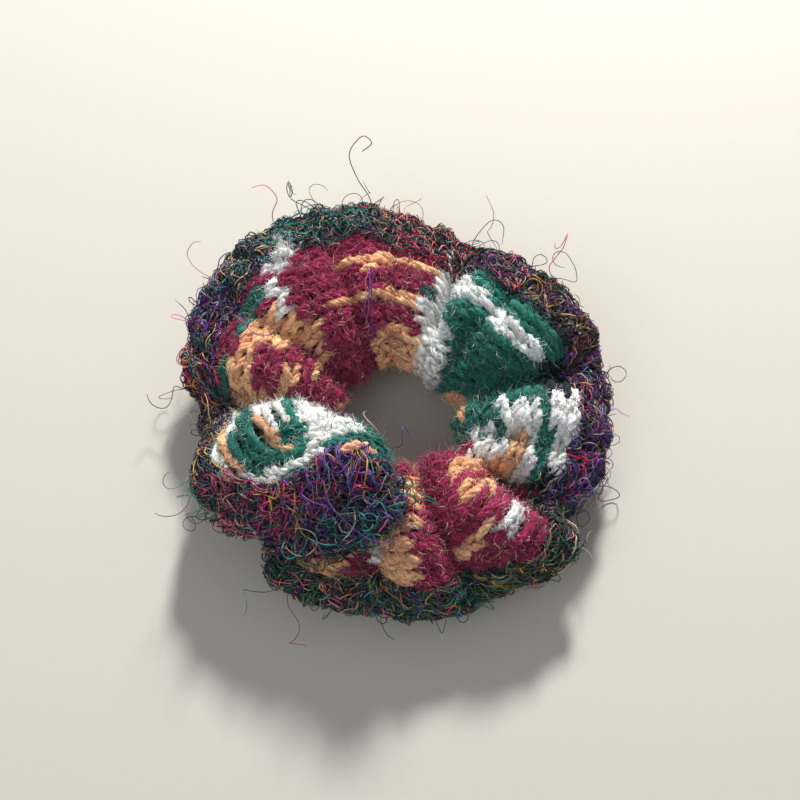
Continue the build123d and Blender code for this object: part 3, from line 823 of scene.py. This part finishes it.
# ground of the fabric, seen in the gaps between stitches
# The strip is as long at the elastic as at its edge, so its rows are gathered
# into small folds, one to a stitch, deep enough to keep each row's length.
ST_LEN = 5.2                                  # length of one stitch
STRIP_LEN = N_ST * ST_LEN
GU, GW = 840, 70
gu = np.arange(GU + 0) / GU
gw = np.linspace(0.03, 0.97, GW)
uu, ww = np.meshgrid(gu, gw, indexing="ij")
_g0, _ = on_strip(uu, ww, np.full(uu.shape, -2.0))
_run = np.linalg.norm(np.roll(_g0, -6, 0) - np.roll(_g0, 6, 0), axis=2) * GU / 12.0
fold = np.sqrt(np.clip(STRIP_LEN ** 2 - _run ** 2, 0, None)) / (4.0 * N_ST)
gp, gn = on_strip(uu, ww, -1.7 - 0.35 * fold + fold * np.sin(uu * TAU * N_ST)
                  + 0.2 * np.sin(uu * TAU * N_ST) * np.sin(ww * 60))
gp[..., 2] = np.maximum(gp[..., 2], 0.5)
gc = YARN_RGB[yarn_colour(uu, ww)]
for part in ("front", "back"):
    # the strip's ground in this half: every run of sections on that side
    keep = (E[(gu * NU).astype(int) % NU, 1] + P0[(gu * NU).astype(int) % NU, 1] < 0) == (part == "front")
    start = [i for i in range(GU) if keep[i] and not keep[i - 1]][0]
    run = [(start + i) % GU for i in range(GU) if keep[(start + i) % GU]]
    run.append((run[-1] + 1) % GU)
    ob = grid_mesh("strip_ground_" + part, gp[run], gc[run], MAT_GAP_PAINTED_SHADE, False, False)
    bend(ob, part)
    cover_pieces[part].append(ob)

# ---------------------------------------------------------------------------
# Edging: a chain of novelty yarn along the edge, in a mat of fine threads
# ---------------------------------------------------------------------------
dE = unit(E - M)                              # out of the edge
tE = unit(smooth_u(np.roll(E, -4, 0) - np.roll(E, 4, 0), 11))
nE = unit(np.cross(dE, tE))
nE[(nE * N[:, -1]).sum(1) < 0] *= -1
nE = unit(smooth_u(nE, 15))
_ea = np.degrees(ang) % 360
INSET = np.interp(_ea, [0, 30, 60, 90, 180, 192, 200, 219, 226, 246, 262, 330, 360],
                  [5.2, 5.2, 5.2, 5.2, 5.6, 4.4, 3.0, 1.8, 3.0, 3.6, 4.6, 5.4, 5.2])
SINK = np.interp(_ea, [0, 184, 192, 200, 206, 219, 226, 360], [0, 0, 3.0, 3.0, 1.5, 1.5, 1.0, 0])
FAT = np.interp(_ea, [0, 184, 190, 205, 210, 360], [1, 1, 1.35, 1.35, 1.0, 1.0])
EC = E - dE * smooth_u(INSET, 21)[:, None] - nE * smooth_u(SINK, 21)[:, None]


def lerp_u(g, u):
    x = np.mod(u, 1.0) * NU
    i = np.floor(x).astype(int)
    f = (x - i)[..., None]
    return g[i % NU] * (1 - f) + g[(i + 1) % NU] * f


_cum = np.concatenate([[0], np.cumsum(np.linalg.norm(np.roll(E, -1, 0) - E, axis=1))])


def even_u(r, n, lo=None, hi=None):
    """Positions spread evenly along the edge, between two strip angles if given."""
    if lo is None:
        return np.interp(r.random(n) * _cum[-1], _cum, np.arange(NU + 1) / NU)
    ok = np.where((_ea >= lo) & (_ea <= hi))[0]
    a0, a1 = _cum[ok.min()], _cum[ok.max()]
    return np.interp(a0 + r.random(n) * (a1 - a0), _cum, np.arange(NU + 1) / NU)


THREAD = {
    "navy": lin(20, 24, 66), "purple": lin(92, 36, 150), "violet": lin(124, 78, 172),
    "magenta": lin(188, 30, 108), "crimson": lin(196, 26, 58), "rose": lin(206, 104, 128),
    "teal": lin(10, 122, 118), "green": lin(12, 98, 64), "black": lin(14, 16, 22),
    "gold": lin(196, 148, 64), "tan": lin(176, 126, 84), "olive": lin(110, 108, 34),
    "blue": lin(30, 108, 172), "cream": lin(226, 208, 176), "orange": lin(206, 110, 44),
    "plum": lin(70, 24, 52),
}
TN = list(THREAD)
TRGB = np.array([THREAD[n] for n in TN])
# what the threads are round the edge: strip angle from, to, and the mix
MIX = [
    (352, 22, dict(navy=4, purple=3, black=4, tan=1, magenta=2, teal=1, violet=2)),
    (22, 40, dict(navy=3, black=5, tan=1, gold=1, plum=3, purple=2, crimson=1, green=1)),
    (40, 62, dict(magenta=4, crimson=4, tan=1, navy=5, green=2, rose=1, black=5, purple=1)),
    (62, 88, dict(plum=6, rose=2, tan=1, crimson=4, navy=3, green=2, black=5, magenta=2)),
    (88, 100, dict(plum=4, magenta=2, green=2, navy=2, tan=2, rose=1)),
    (100, 128, dict(green=7, teal=5, navy=3, black=4, gold=1, magenta=1)),
    (128, 142, dict(plum=4, navy=4, teal=2, tan=1, black=3, purple=1)),
    (142, 160, dict(navy=7, purple=4, teal=2, black=3, tan=1, magenta=1)),
    (160, 174, dict(crimson=4, plum=4, magenta=2, navy=2, gold=2, teal=1)),
    (174, 190, dict(black=5, navy=3, gold=1, plum=2, green=1)),
    (190, 198, dict(teal=5, green=4, black=3, navy=2, gold=1)),
    (198, 204, dict(crimson=4, magenta=4, plum=3, teal=2, rose=2, gold=1)),
    (204, 208, dict(crimson=3, teal=3, magenta=3, navy=3, purple=2, gold=1)),
    (208, 217, dict(purple=8, violet=3, magenta=2, navy=3, gold=2, orange=1, teal=1)),
    (217, 224, dict(black=5, navy=4, teal=3, purple=2)),
    (224, 236, dict(purple=4, violet=2, black=4, rose=2, green=2, navy=2, teal=1)),
    (236, 262, dict(teal=4, black=4, green=3, rose=1, navy=3, gold=1, plum=1)),
    (262, 280, dict(teal=4, blue=3, green=4, black=3, magenta=1, gold=2)),
    (280, 294, dict(orange=2, gold=4, olive=3, black=5, green=4, teal=1, tan=1)),
    (294, 312, dict(olive=5, gold=3, green=4, black=6, tan=1, teal=1, magenta=1)),
    (312, 326, dict(black=5, green=3, navy=2, rose=1, magenta=1)),
    (326, 352, dict(crimson=3, magenta=3, teal=3, navy=4, purple=3, black=2, violet=2, tan=1)),
]


_rl = rng_for("clumps")
LUMP = [(_rl.uniform(0.25, 0.9), _rl.uniform(-0.7, 0.7), _rl.uniform(0, TAU)) for _ in range(7)]


def lump(u, v, shift=0.0):
    """Smooth clumps in the pile, 0 to 1, at positions u along and v millimetres across."""
    s = np.interp(np.mod(u, 1.0), np.arange(NU + 1) / NU, _cum)
    x = sum(np.sin(a * s + b * v + c + shift) for a, b, c in LUMP) / 2.6
    return 0.5 + 0.5 * np.tanh(x)


def thread_colour(u, r, v=0.0):
    a = angle_of(u)
    pick = np.mod(0.5 * lump(u, v, 1.0) + 0.5 * r.random(len(a)) + 0.15, 1.0)
    out = np.zeros(len(a), int)
    a = (a + r.normal(0, 2.0, len(a))) % 360
    for lo, hi, mix in MIX:
        m = (a >= lo) & (a < hi) if lo < hi else (a >= lo) | (a < hi)
        names = [TN.index(k) for k in mix]
        cum = np.cumsum(list(mix.values())) / float(sum(mix.values()))
        out[m] = np.array(names)[np.minimum(np.searchsorted(cum, pick[m]), len(names) - 1)]
    return out


SIZE_LO = np.array([(cad_lo.x - 0.0105 - 0.02 * (cad_hi.x - cad_lo.x) - AX) * 1000,
                    (cad_lo.y - 0.0105 - 0.02 * (cad_hi.y - cad_lo.y) - AY) * 1000, 0.2])
SIZE_HI = np.array([(cad_hi.x + 0.0105 + 0.02 * (cad_hi.x - cad_lo.x) - AX) * 1000,
                    (cad_hi.y + 0.0105 + 0.02 * (cad_hi.y - cad_lo.y) - AY) * 1000,
                    (cad_hi.z + 0.009) * 1000])


def wander(name, n, K, length, start_r, hold, wild, free=False, lift=0.0, lo=None, hi=None):
    """Threads that start in the edging band and wander. hold pulls them back to the band."""
    r = rng_for(name)
    u = even_u(r, n, lo, hi)
    th = r.uniform(0, TAU, n)
    d_, n_, t_, c_ = (lerp_u(g, u) for g in (dE, nE, tE, EC))
    rad0 = (start_r[0] + (start_r[1] - start_r[0]) * np.sqrt(r.random(n))) * lerp_u(FAT[:, None], u)[:, 0]
    rad0 = rad0 * (0.62 + 0.75 * lump(u, 3.0 * np.cos(th)))
    outw = np.cos(th)[:, None] * d_ + np.sin(th)[:, None] * n_
    pos = c_ + outw * rad0[:, None] + t_ * r.normal(0, 1.0, n)[:, None]
    L = r.uniform(length[0], length[1], n)
    ds = L / (K - 1)
    if free:
        direc = unit(outw + 0.8 * unit(r.normal(0, 1, (n, 3))) + np.array([0, 0, lift]))
    else:
        direc = unit(t_ * r.choice([-1, 1], n)[:, None] * r.uniform(0.2, 1.2, n)[:, None]
                     + unit(r.normal(0, 1, (n, 3))))
    omega = unit(r.normal(0, 1, (n, 3))) * r.gamma(3.0, wild / 3.0, n)[:, None]
    uu_ = u.copy()
    per = np.linalg.norm(np.roll(E, -1, 0) - np.roll(E, 1, 0), axis=1) * NU / 2.0
    out = [pos.copy()]
    for k in range(K - 1):
        ang_ = omega * ds[:, None]
        direc = unit(direc + np.cross(ang_, direc))
        omega = omega + unit(r.normal(0, 1, (n, 3))) * wild * 0.45
        omega *= 0.93
        cc = lerp_u(EC, uu_)
        away = pos - cc
        away = away - (away * lerp_u(tE, uu_)).sum(1, keepdims=True) * lerp_u(tE, uu_)
        dist = np.linalg.norm(away, axis=1, keepdims=True)
        target = rad0[:, None]
        direc = unit(direc - unit(away) * hold * np.clip(dist - target, -1.5, 6) / 3.0)
        pos = pos + direc * ds[:, None]
        uu_ = uu_ + (direc * lerp_u(tE, uu_)).sum(1) * ds / per[(np.mod(uu_, 1) * NU).astype(int) % NU]
        pos[:, 2] = np.maximum(pos[:, 2], 0.3)
        out.append(pos.copy())
    P = np.stack(out, 1)
    for ax in range(3):
        lo, hi = SIZE_LO[ax] + 1.0, SIZE_HI[ax] - 1.0
        P[..., ax] = np.where(P[..., ax] > hi - 3, hi - 3 * np.exp(-(P[..., ax] - hi + 3) / 3), P[..., ax])
        if ax < 2:
            P[..., ax] = np.where(P[..., ax] < lo + 3, lo + 3 * np.exp((P[..., ax] - lo - 3) / 3), P[..., ax])
    return u, P, r


edge_bags = {(part, side, part_x): Bag() for part in ("front", "back") for side in ("left", "right")
             for part_x in ("inner", "outer")}


def put(u, P, rad, r, sides=3, bright=(0.7, 1.35), bags=edge_bags, shade=None, v=0.0):
    col = thread_colour(u, r, v)
    shade = np.ones(len(u)) if shade is None else shade
    rgb = np.clip(TRGB[col] * shade[:, None] * r.uniform(*bright, (len(u), 1)) * r.normal(1, 0.08, (len(u), 3)), 0.002, 0.95)
    # painted highlight: about 7 per cent of threads are blended towards cream, standing in for glints on the shiny
    # threads
    painted_glint = r.random(len(u)) < 0.07
    rgb[painted_glint] = np.clip(0.35 * rgb[painted_glint] + 0.65 * TRGB[TN.index("cream")] * r.uniform(0.5, 1.0, (painted_glint.sum(), 1)), 0, 0.9)
    mid = P.mean(1)
    order = np.argsort(col, kind="stable")
    for key, bag in bags.items():
        m = (((mid[:, 1] < 0) == (key[0] == "front")) & ((mid[:, 0] < 0) == (key[1] == "left"))
             & ((np.abs(mid[:, 0]) < 30) == (key[2] == "inner")))
        sel = order[m[order]]
        if len(sel):
            bag.add(P[sel], rad[sel], sides=sides, tint=rgb[sel])


def thread_radii(n, K, r, lo, hi):
    t = np.linspace(0, 1, K)
    prof = np.minimum(1, np.minimum(t, 1 - t) * 8 + 0.45)
    return r.uniform(lo, hi, n)[:, None] * prof[None]


Q = 1.0
mat_n = int(3700 * Q)
u1, P1, r1 = wander("mat", mat_n, 13, (8, 17), (2.4, 4.4), 1.4, 0.42)
put(u1, P1, thread_radii(mat_n, 13, r1, 0.14, 0.26), r1)
core_n = int(1300 * Q)
u2, P2, r2 = wander("core", core_n, 10, (7, 13), (0.6, 2.6), 1.6, 0.35)
put(u2, P2, thread_radii(core_n, 10, r2, 0.30, 0.48), r2, bright=(0.45, 1.0))
loop_n = int(1300 * Q)
u3, P3, r3 = wander("loops", loop_n, 15, (9, 22), (3.0, 4.6), 0.22, 0.55, free=True)
put(u3, P3, thread_radii(loop_n, 15, r3, 0.10, 0.18), r3)
wisp_n = int(330 * Q)
u4, P4, r4 = wander("wisps", wisp_n, 26, (16, 44), (3.0, 4.6), 0.03, 0.34, free=True, lift=0.15)
put(u4, P4, thread_radii(wisp_n, 26, r4, 0.09, 0.15), r4)


def on_band(name, n, K, length, h_rng, wild, top, lo=None, hi=None, widen=1.0):
    r = rng_for(name)
    u = even_u(r, n, lo, hi)
    wd = widen * np.interp(angle_of(u), BAND_A, BAND_T if top else BAND_B)
    v = r.uniform(-1.0, 1.0, n)
    v = np.where(v < 0, v * 0.5, v * wd)
    v0 = np.clip(v, 0, None)
    L = r.uniform(*length, n)
    ds = L / (K - 1)
    th = r.uniform(0, TAU, n)
    om = r.normal(0, wild, n)
    h0 = r.uniform(*h_rng, n)
    amp = r.uniform(0.2, 1.3, n)
    fh = r.uniform(0.5, 1.5, n)
    ph = r.uniform(0, TAU, n)
    out, s = [], np.zeros(n)
    u_start = u.copy()
    for k in range(K):
        i = (np.mod(u, 1) * NU).astype(int) % NU
        share = np.clip(v, 0, None) / WIDTH[i]
        w = 1 - share if top else share
        j = (np.clip(w, 0, 1) * (NWID - 1)).astype(int)
        p, nn = on_strip(u, w, h0 + 1.9 * lump(u, v) * (h0 > -0.2) + amp * np.sin(fh * s + ph))
        p = p + lerp_u(dE, u) * np.clip(-v, 0, None)[:, None]
        out.append(p)
        u = u + np.cos(th) * ds / np.maximum(LU[i, j], 60.0)
        v = v + np.sin(th) * ds
        turn = (v > wd) | (v < -0.5)
        th = np.where(turn, -th, th)
        v = np.where(v > wd, 2 * wd - v, np.where(v < -0.5, -1.0 - v, v))
        th = th + om * ds
        om = (om + r.normal(0, wild * 0.5, n)) * 0.92
        s = s + ds
    P = np.stack(out, 1)
    P[..., 2] = np.maximum(P[..., 2], 0.3)
    return u_start, P, r, v0


# painted shade: the low layers ('band top low', 'mouth low') carry the same thread mix at 0.10 to 0.50 of its colour,
# standing in for shadow beneath the upper threads
for nm, n, top, lo, hi, rad, bright in (
        ("band top low", 3600, True, None, None, (0.22, 0.40), (0.12, 0.50)),
        ("band top", 6200, True, None, None, (0.13, 0.24), (0.7, 1.5)),
        ("band under", 1700, False, None, None, (0.16, 0.30), (0.5, 1.2)),
        ("mouth low", 900, False, 196, 246, (0.25, 0.45), (0.10, 0.4)),
        ("mouth", 1500, False, 196, 246, (0.13, 0.24), (0.7, 1.6))):
    n = int(n * Q)
    low = nm.endswith("low")
    ub, Pb, rb, vb = on_band(nm, n, 10, (7, 14), (-0.6, 1.2) if low else (0.4, 2.6), 0.30, top, lo, hi)
    # painted shade: threads in the mouth darken with their distance into it, down to 0.06 of their colour
    deep = np.clip(1.2 - vb / 8.0, 0.06, 1.0) if nm.startswith("mouth") else np.ones(n)
    put(ub, Pb, thread_radii(n, 10, rb, *rad), rb, bright=bright, shade=deep, v=vb)

# the edging's own stitches: a thick chain along the edge, in deep tones
rc = rng_for("edge chain")
NE_ = 84
jj = np.repeat(np.arange(NE_), 4)
sd = np.tile([-1.0, 1.0, -1.0, 1.0], NE_)
lay = np.tile([0.0, 0.0, 1.0, 1.0], NE_)
du = np.array([-0.4, 0.0, 0.5, 1.0, 1.35])
side_off = np.array([0.3, 0.9, 1.6, 1.9, 1.2])
hh = np.array([-0.3, 0.8, 1.5, 1.0, -0.4])
uc_ = (jj[:, None] + 0.5 * lay[:, None] + du[None]) / NE_ + rc.normal(0, 0.0012, (len(jj), 5))
cen, dd, nn_ = lerp_u(EC, uc_), lerp_u(dE, uc_), lerp_u(nE, uc_)
flip = np.where(lay > 0, -1.0, 1.0)[:, None, None]
pc = (cen + dd * (sd[:, None] * side_off[None] + rc.normal(0, 0.3, (len(jj), 5)))[..., None]
      + nn_ * flip * (hh[None] + rc.normal(0, 0.3, (len(jj), 5)))[..., None])
pc = spline(pc, 9)
pc[..., 2] = np.maximum(pc[..., 2], 1.1)
rad_c = np.broadcast_to(np.array([0.6, 0.85, 1, 1, 1, 1, 1, 0.85, 0.6]) * 1.15, (len(jj), 9))
put(uc_[:, 2], pc, rad_c * rc.uniform(0.85, 1.1, (len(jj), 1)), rc, sides=6, bright=(0.35, 0.8))

# thicker pile where the edging hangs below the lip of the standing lobe
for nm, n, lo, hi, lr in (("tip pile", 900, 188, 208, (2.0, 5.0)), ("lip pile", 700, 206, 224, (1.5, 4.2))):
    n = int(n * Q)
    ut, Pt, rt = wander(nm, n, 13, (7, 15), lr, 1.2, 0.45, lo=lo, hi=hi)
    put(ut, Pt, thread_radii(n, 13, rt, 0.15, 0.28), rt)

# a few loose threads with a place of their own
_gu, _gw = np.meshgrid(np.arange(0, 1, 1 / 1400), np.linspace(0.3, 1, 141), indexing="ij")
_gp, _gn = on_strip(_gu, _gw, np.full(_gu.shape, 1.3))
_gx, _gy = plan(_gp)
_gd = (_gp - np.array([0, 0, 12.0])) @ _v


def seen_at(pts, lift):
    """Points on the strip's visible side below places in the front view."""
    out = []
    for x, y in pts:
        near = np.where((np.abs(_gx - x) < 0.8) & (np.abs(_gy - y) < 0.8), _gd, 1e9)
        i = np.unravel_index(np.argmin(near), near.shape)
        if near[i] < 1e8:
            out.append(_gp[i] + _gn[i] * lift)
    return np.array(out)


OWN = [
    (seen_at([(-7.3, 39.8), (-8.6, 34.1), (-9.4, 28.8), (-8.4, 23.1)], 1.3), "violet"),
    (seen_at([(-6.8, 39.3), (-7.6, 32.8), (-7.9, 27.5), (-7.3, 21.5)], 1.6), "purple"),
    (seen_at([(-8.1, 40.3), (-9.4, 35.4), (-8.6, 30.1), (-9.4, 24.6)], 1.0), "rose"),
    (seen_at([(-6.3, 17.8), (-4.2, 20.4), (-1.3, 21.5), (1.3, 19.7), (2.1, 16.8), (0.0, 17.8), (-3.1, 19.7)], 2.0), "plum"),
    (seen_at([(-34.6, -18.9), (-33.5, -16.8), (-31.7, -16.8), (-31.2, -18.9), (-32.5, -20.4), (-34.1, -19.9)], 2.8), "gold"),
    (np.array([[-7.5, 55.0, 19.0], [-8.0, 59.0, 27.0], [-11.5, 62.0, 33.0], [-13.5, 65.5, 39.0], [-10.0, 68.5, 42.5],
               [-7.5, 67.0, 41.5], [-10.0, 65.5, 40.0]]), "plum"),
    (np.array([[-33.0, 51.0, 18.0], [-35.0, 56.0, 24.0], [-33.5, 59.0, 28.0], [-36.5, 61.5, 30.5], [-40.0, 60.5, 31.0]]), "rose"),
]
for line, nm in OWN:
    if len(line) < 3:
        continue
    s_ = spline(line[None], 34)
    side = "left" if s_[0, :, 0].mean() < 0 else "right"
    part = "front" if s_[0, :, 1].mean() < 0 else "back"
    edge_bags[(part, side, "inner")].add(s_, np.full((1, 34), 0.13), sides=4, tint=THREAD[nm][None])

edge_pieces = {"front": [], "back": []}
for key, bag in edge_bags.items():
    ob = bag.make("edging_threads_%s_%s_%s" % key, [MAT_THREAD])
    bend(ob, key[0])
    edge_pieces[key[0]].append(ob)
    print(ob.name, bag.triangles())

# ---------------------------------------------------------------------------
# Hair elastic inside: rubber core, braided sleeve and the bonded joint
# ---------------------------------------------------------------------------
def half_ring(name, r_mm, part, mat, rgb, braid=0.0, nu=240, nv=20, a=None):
    a = np.linspace(math.pi, TAU, nu) if part == "front" else np.linspace(0, math.pi, nu)
    b = np.arange(nv) * TAU / nv
    aa, bb = np.meshgrid(a, b, indexing="ij")
    rr = r_mm + braid * (np.sin(aa * 70 + bb * 4) * np.sin(aa * 70 - bb * 4))
    P = np.stack([(R_EL + rr * np.cos(bb)) * np.cos(aa), (R_EL + rr * np.cos(bb)) * np.sin(aa),
                  Z_EL + rr * np.sin(bb)], 2)
    ob = grid_mesh(name, P, np.broadcast_to(rgb, (nu, nv, 3)), mat, False, True)
    return bend(ob, part)


ELASTIC = {}
for part, arcs in (("front", ("front",)), ("back", ("back", "right", "left"))):
    s = half_ring("elastic_sleeve_half_" + part, 2.45, part, MAT_SLEEVE, lin(26, 26, 29), braid=0.14)
    c = half_ring("elastic_core_half_" + part, 1.5, part, MAT_RUBBER, lin(176, 160, 128), nv=12)
    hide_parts(*["elastic_sleeve_" + x for x in arcs])
    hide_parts(*["elastic_core_" + x for x in arcs])
    ELASTIC[part] = (s, c)

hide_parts("knit_cover_front")
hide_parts("knit_cover_back", "knit_cover_left", "knit_cover_right")
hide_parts("yarn_edging_front")
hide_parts("yarn_edging_back", "yarn_edging_left", "yarn_edging_right")

# ---------------------------------------------------------------------------
# End seam: whip stitches over the line where the strip's ends meet
# ---------------------------------------------------------------------------
rs = rng_for("seam")
su = float(np.interp(73.0, np.degrees(np.unwrap(ang)), _u))
nse = 24
ws = np.linspace(0.30, 0.93, nse)
cu = su + PITCH * np.array([-0.75, -0.3, 0.1, 0.55, 0.8])[None] + rs.normal(0, 0.05, (nse, 5)) * PITCH
cw = ws[:, None] + DW * np.array([-0.32, -0.15, 0.0, 0.2, 0.36])[None]
ch = np.array([-1.0, 1.0, 1.7, 1.1, -1.0])[None] + rs.normal(0, 0.2, (nse, 5))
sp = spline(np.stack([cu, cw, ch], 2), 10)
pp, pn = on_strip(sp[..., 0], sp[..., 1], sp[..., 2])
pp[..., 2] = np.maximum(pp[..., 2], 1.2)
bag = Bag()
Ts, As, Bs = frames(pp, pn)
for ply in range(3):
    ph = ply * TAU / 3 + np.linspace(0, 1.3 * TAU, 10)[None] + rs.uniform(0, TAU, (nse, 1))
    bag.add(pp + 0.55 * (np.cos(ph)[..., None] * As + np.sin(ph)[..., None] * Bs),
            np.broadcast_to(np.array([0.5, 0.65, 0.7, 0.7, 0.7, 0.7, 0.7, 0.7, 0.65, 0.5]), (nse, 10)),
            sides=6, ref=pn, tint=np.broadcast_to(YARN["white"], (nse, 3)) * rs.uniform(0.85, 1.05, (nse, 1)))
SEAM = bag.make("end_seam_stitches", [MAT_SEAM])
bend(SEAM, "back")
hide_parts("strip_end_seam")

# Knot: a soft overhand knot of off-white yarn with two short tails
def along(ctrl, k):
    return spline(np.array(ctrl, float)[None], k)


kb_lo, kb_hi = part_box("yarn_knot")
kc = np.array([((kb_lo.x + kb_hi.x) / 2 - AX) * 1000, ((kb_lo.y + kb_hi.y) / 2 - AY) * 1000, kb_hi.z * 1000])
TUFT = [
    [[-1.6, -7.2, -0.4], [-2.0, -4.0, 0.8], [-1.5, 0.0, 1.8], [-0.4, 3.6, 1.6], [1.6, 6.4, 0.4], [2.8, 8.2, -0.8]],
    [[1.4, -7.6, -0.6], [0.4, -4.4, 1.0], [0.9, -0.6, 2.1], [0.2, 3.0, 1.9], [-1.6, 5.8, 0.8], [-2.6, 7.6, -0.6]],
    [[-3.2, -1.6, -0.4], [-1.8, 0.4, 2.3], [0.6, 0.9, 3.1], [2.3, -0.3, 1.9], [3.0, -1.9, -0.5]],
    [[-0.4, -8.6, -0.8], [-0.8, -5.6, 1.6], [0.3, -3.0, 2.4], [2.1, -4.2, 1.4], [2.4, -6.8, 0.0]],
]
bag = Bag()
rk_ = rng_for("knot")
for ctrl in TUFT:
    line = along(ctrl, 40)[0] + kc - np.array([0, 0, 1.5])
    fr = frames(line[None])
    prof = np.interp(np.linspace(0, 1, 40), [0, 0.10, 0.90, 1], [0.25, 0.72, 0.72, 0.22])
    for ply in range(3):
        ph = ply * TAU / 3 + np.linspace(0, 2.2 * TAU, 40)[None]
        bag.add(line[None] + 0.62 * (np.cos(ph)[..., None] * fr[1] + np.sin(ph)[..., None] * fr[2])
                * prof[None, :, None] / 0.72, prof[None] * 1.0, sides=7, tint=YARN["white"][None] * 0.98)
    n_ = 420
    ti = rk_.integers(1, 39, n_)
    o_ = unit(rk_.normal(0, 1, (n_, 3)) + np.array([0, 0, 0.5]))
    root = line[ti] + o_ * 0.9
    tip = root + unit(o_ + unit(rk_.normal(0, 1, (n_, 3))) * 0.9) * rk_.uniform(0.8, 2.8, n_)[:, None]
    mid = 0.5 * (root + tip) + unit(rk_.normal(0, 1, (n_, 3))) * 0.25
    bag.add(np.stack([root, mid, tip], 1), np.tile([0.08, 0.065, 0.03], (n_, 1)), sides=3,
            tint=np.broadcast_to(YARN["white"], (n_, 3)))
KNOT = bag.make("yarn_knot_tuft", [MAT_SEAM])
bend(KNOT, "back")
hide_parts("yarn_knot")

# bonded joint of the elastic: the CAD node stays, with a better material
jm, jnt, jb = new_material("elastic_bond", rough=0.55, spec=0.4, base=tuple(lin(30, 30, 34)))
jn = jnt.nodes.new("ShaderNodeTexNoise")
jn.inputs["Scale"].default_value = 2500.0
jbu = jnt.nodes.new("ShaderNodeBump")
jbu.inputs["Strength"].default_value = 0.3
jbu.inputs["Distance"].default_value = 0.0002
jnt.links.new(jn.outputs["Fac"], jbu.inputs["Height"])
jnt.links.new(jbu.outputs["Normal"], jb.inputs["Normal"])
NODES["elastic_joint_band"].data.materials.clear()
NODES["elastic_joint_band"].data.materials.append(jm)

# ---------------------------------------------------------------------------
# Stage, light and camera
# ---------------------------------------------------------------------------
bm_floor = bpy.data.meshes.new("floor")
s = 3.0
bm_floor.from_pydata([(-s, -s, 0), (s, -s, 0), (s, s, 0), (-s, s, 0)], [], [(0, 1, 2, 3)])
floor = bpy.data.objects.new("floor", bm_floor)
bpy.context.scene.collection.objects.link(floor)
fm, fnt, fb = new_material("pale_floor", rough=0.85, spec=0.2, base=(0.56, 0.53, 0.48))
bm_floor.materials.append(fm)
floor.location = (0, 0, -0.0002)

world_ = bpy.data.worlds.new("studio")
bpy.context.scene.world = world_
world_.use_nodes = True
bg = world_.node_tree.nodes["Background"]
bg.inputs["Color"].default_value = (0.93, 0.96, 1.0, 1)
bg.inputs["Strength"].default_value = 0.33


def area(name, loc, target, size, power, colour=(1, 1, 1)):
    l = bpy.data.lights.new(name, "AREA")
    l.shape = "DISK"
    l.size = size
    l.energy = power
    l.color = colour
    o = bpy.data.objects.new(name, l)
    bpy.context.scene.collection.objects.link(o)
    from mathutils import Vector
    o.location = loc
    d = Vector(target) - Vector(loc)
    o.rotation_mode = "QUATERNION"
    o.rotation_quaternion = d.to_track_quat("-Z", "Y")
    return o


area("key", (AX + 0.12, AY + 0.78, 0.56), (AX, AY, 0.01), 0.14, 16.0, (1.0, 0.975, 0.94))
area("fill", (AX - 0.5, AY - 0.5, 0.7), (AX, AY, 0.01), 0.7, 2.2, (0.92, 0.96, 1.0))

cam_data = bpy.data.cameras.new("camera")
cam = bpy.data.objects.new("camera", cam_data)
bpy.context.scene.collection.objects.link(cam)
cam_data.sensor_width = 36.0
FOV = math.radians(39.0)
cam_data.lens = 18.0 / math.tan(FOV / 2)
cam_data.clip_start = 0.01
cam_data.clip_end = 20.0
cam_data.dof.use_dof = False
D = VIEW_D / 1000.0
tilt = math.atan(20.0 / (400.0 / math.tan(FOV / 2)))
cam.location = (AX, AY - D * math.cos(VIEW_EL), 0.012 + D * math.sin(VIEW_EL))
cam.rotation_mode = "XYZ"
cam.rotation_euler = (math.pi / 2 - VIEW_EL + tilt, 0, 0)
bpy.context.scene.camera = cam
bpy.context.scene.view_settings.view_transform = "Standard"
bpy.context.scene.view_settings.look = "None"
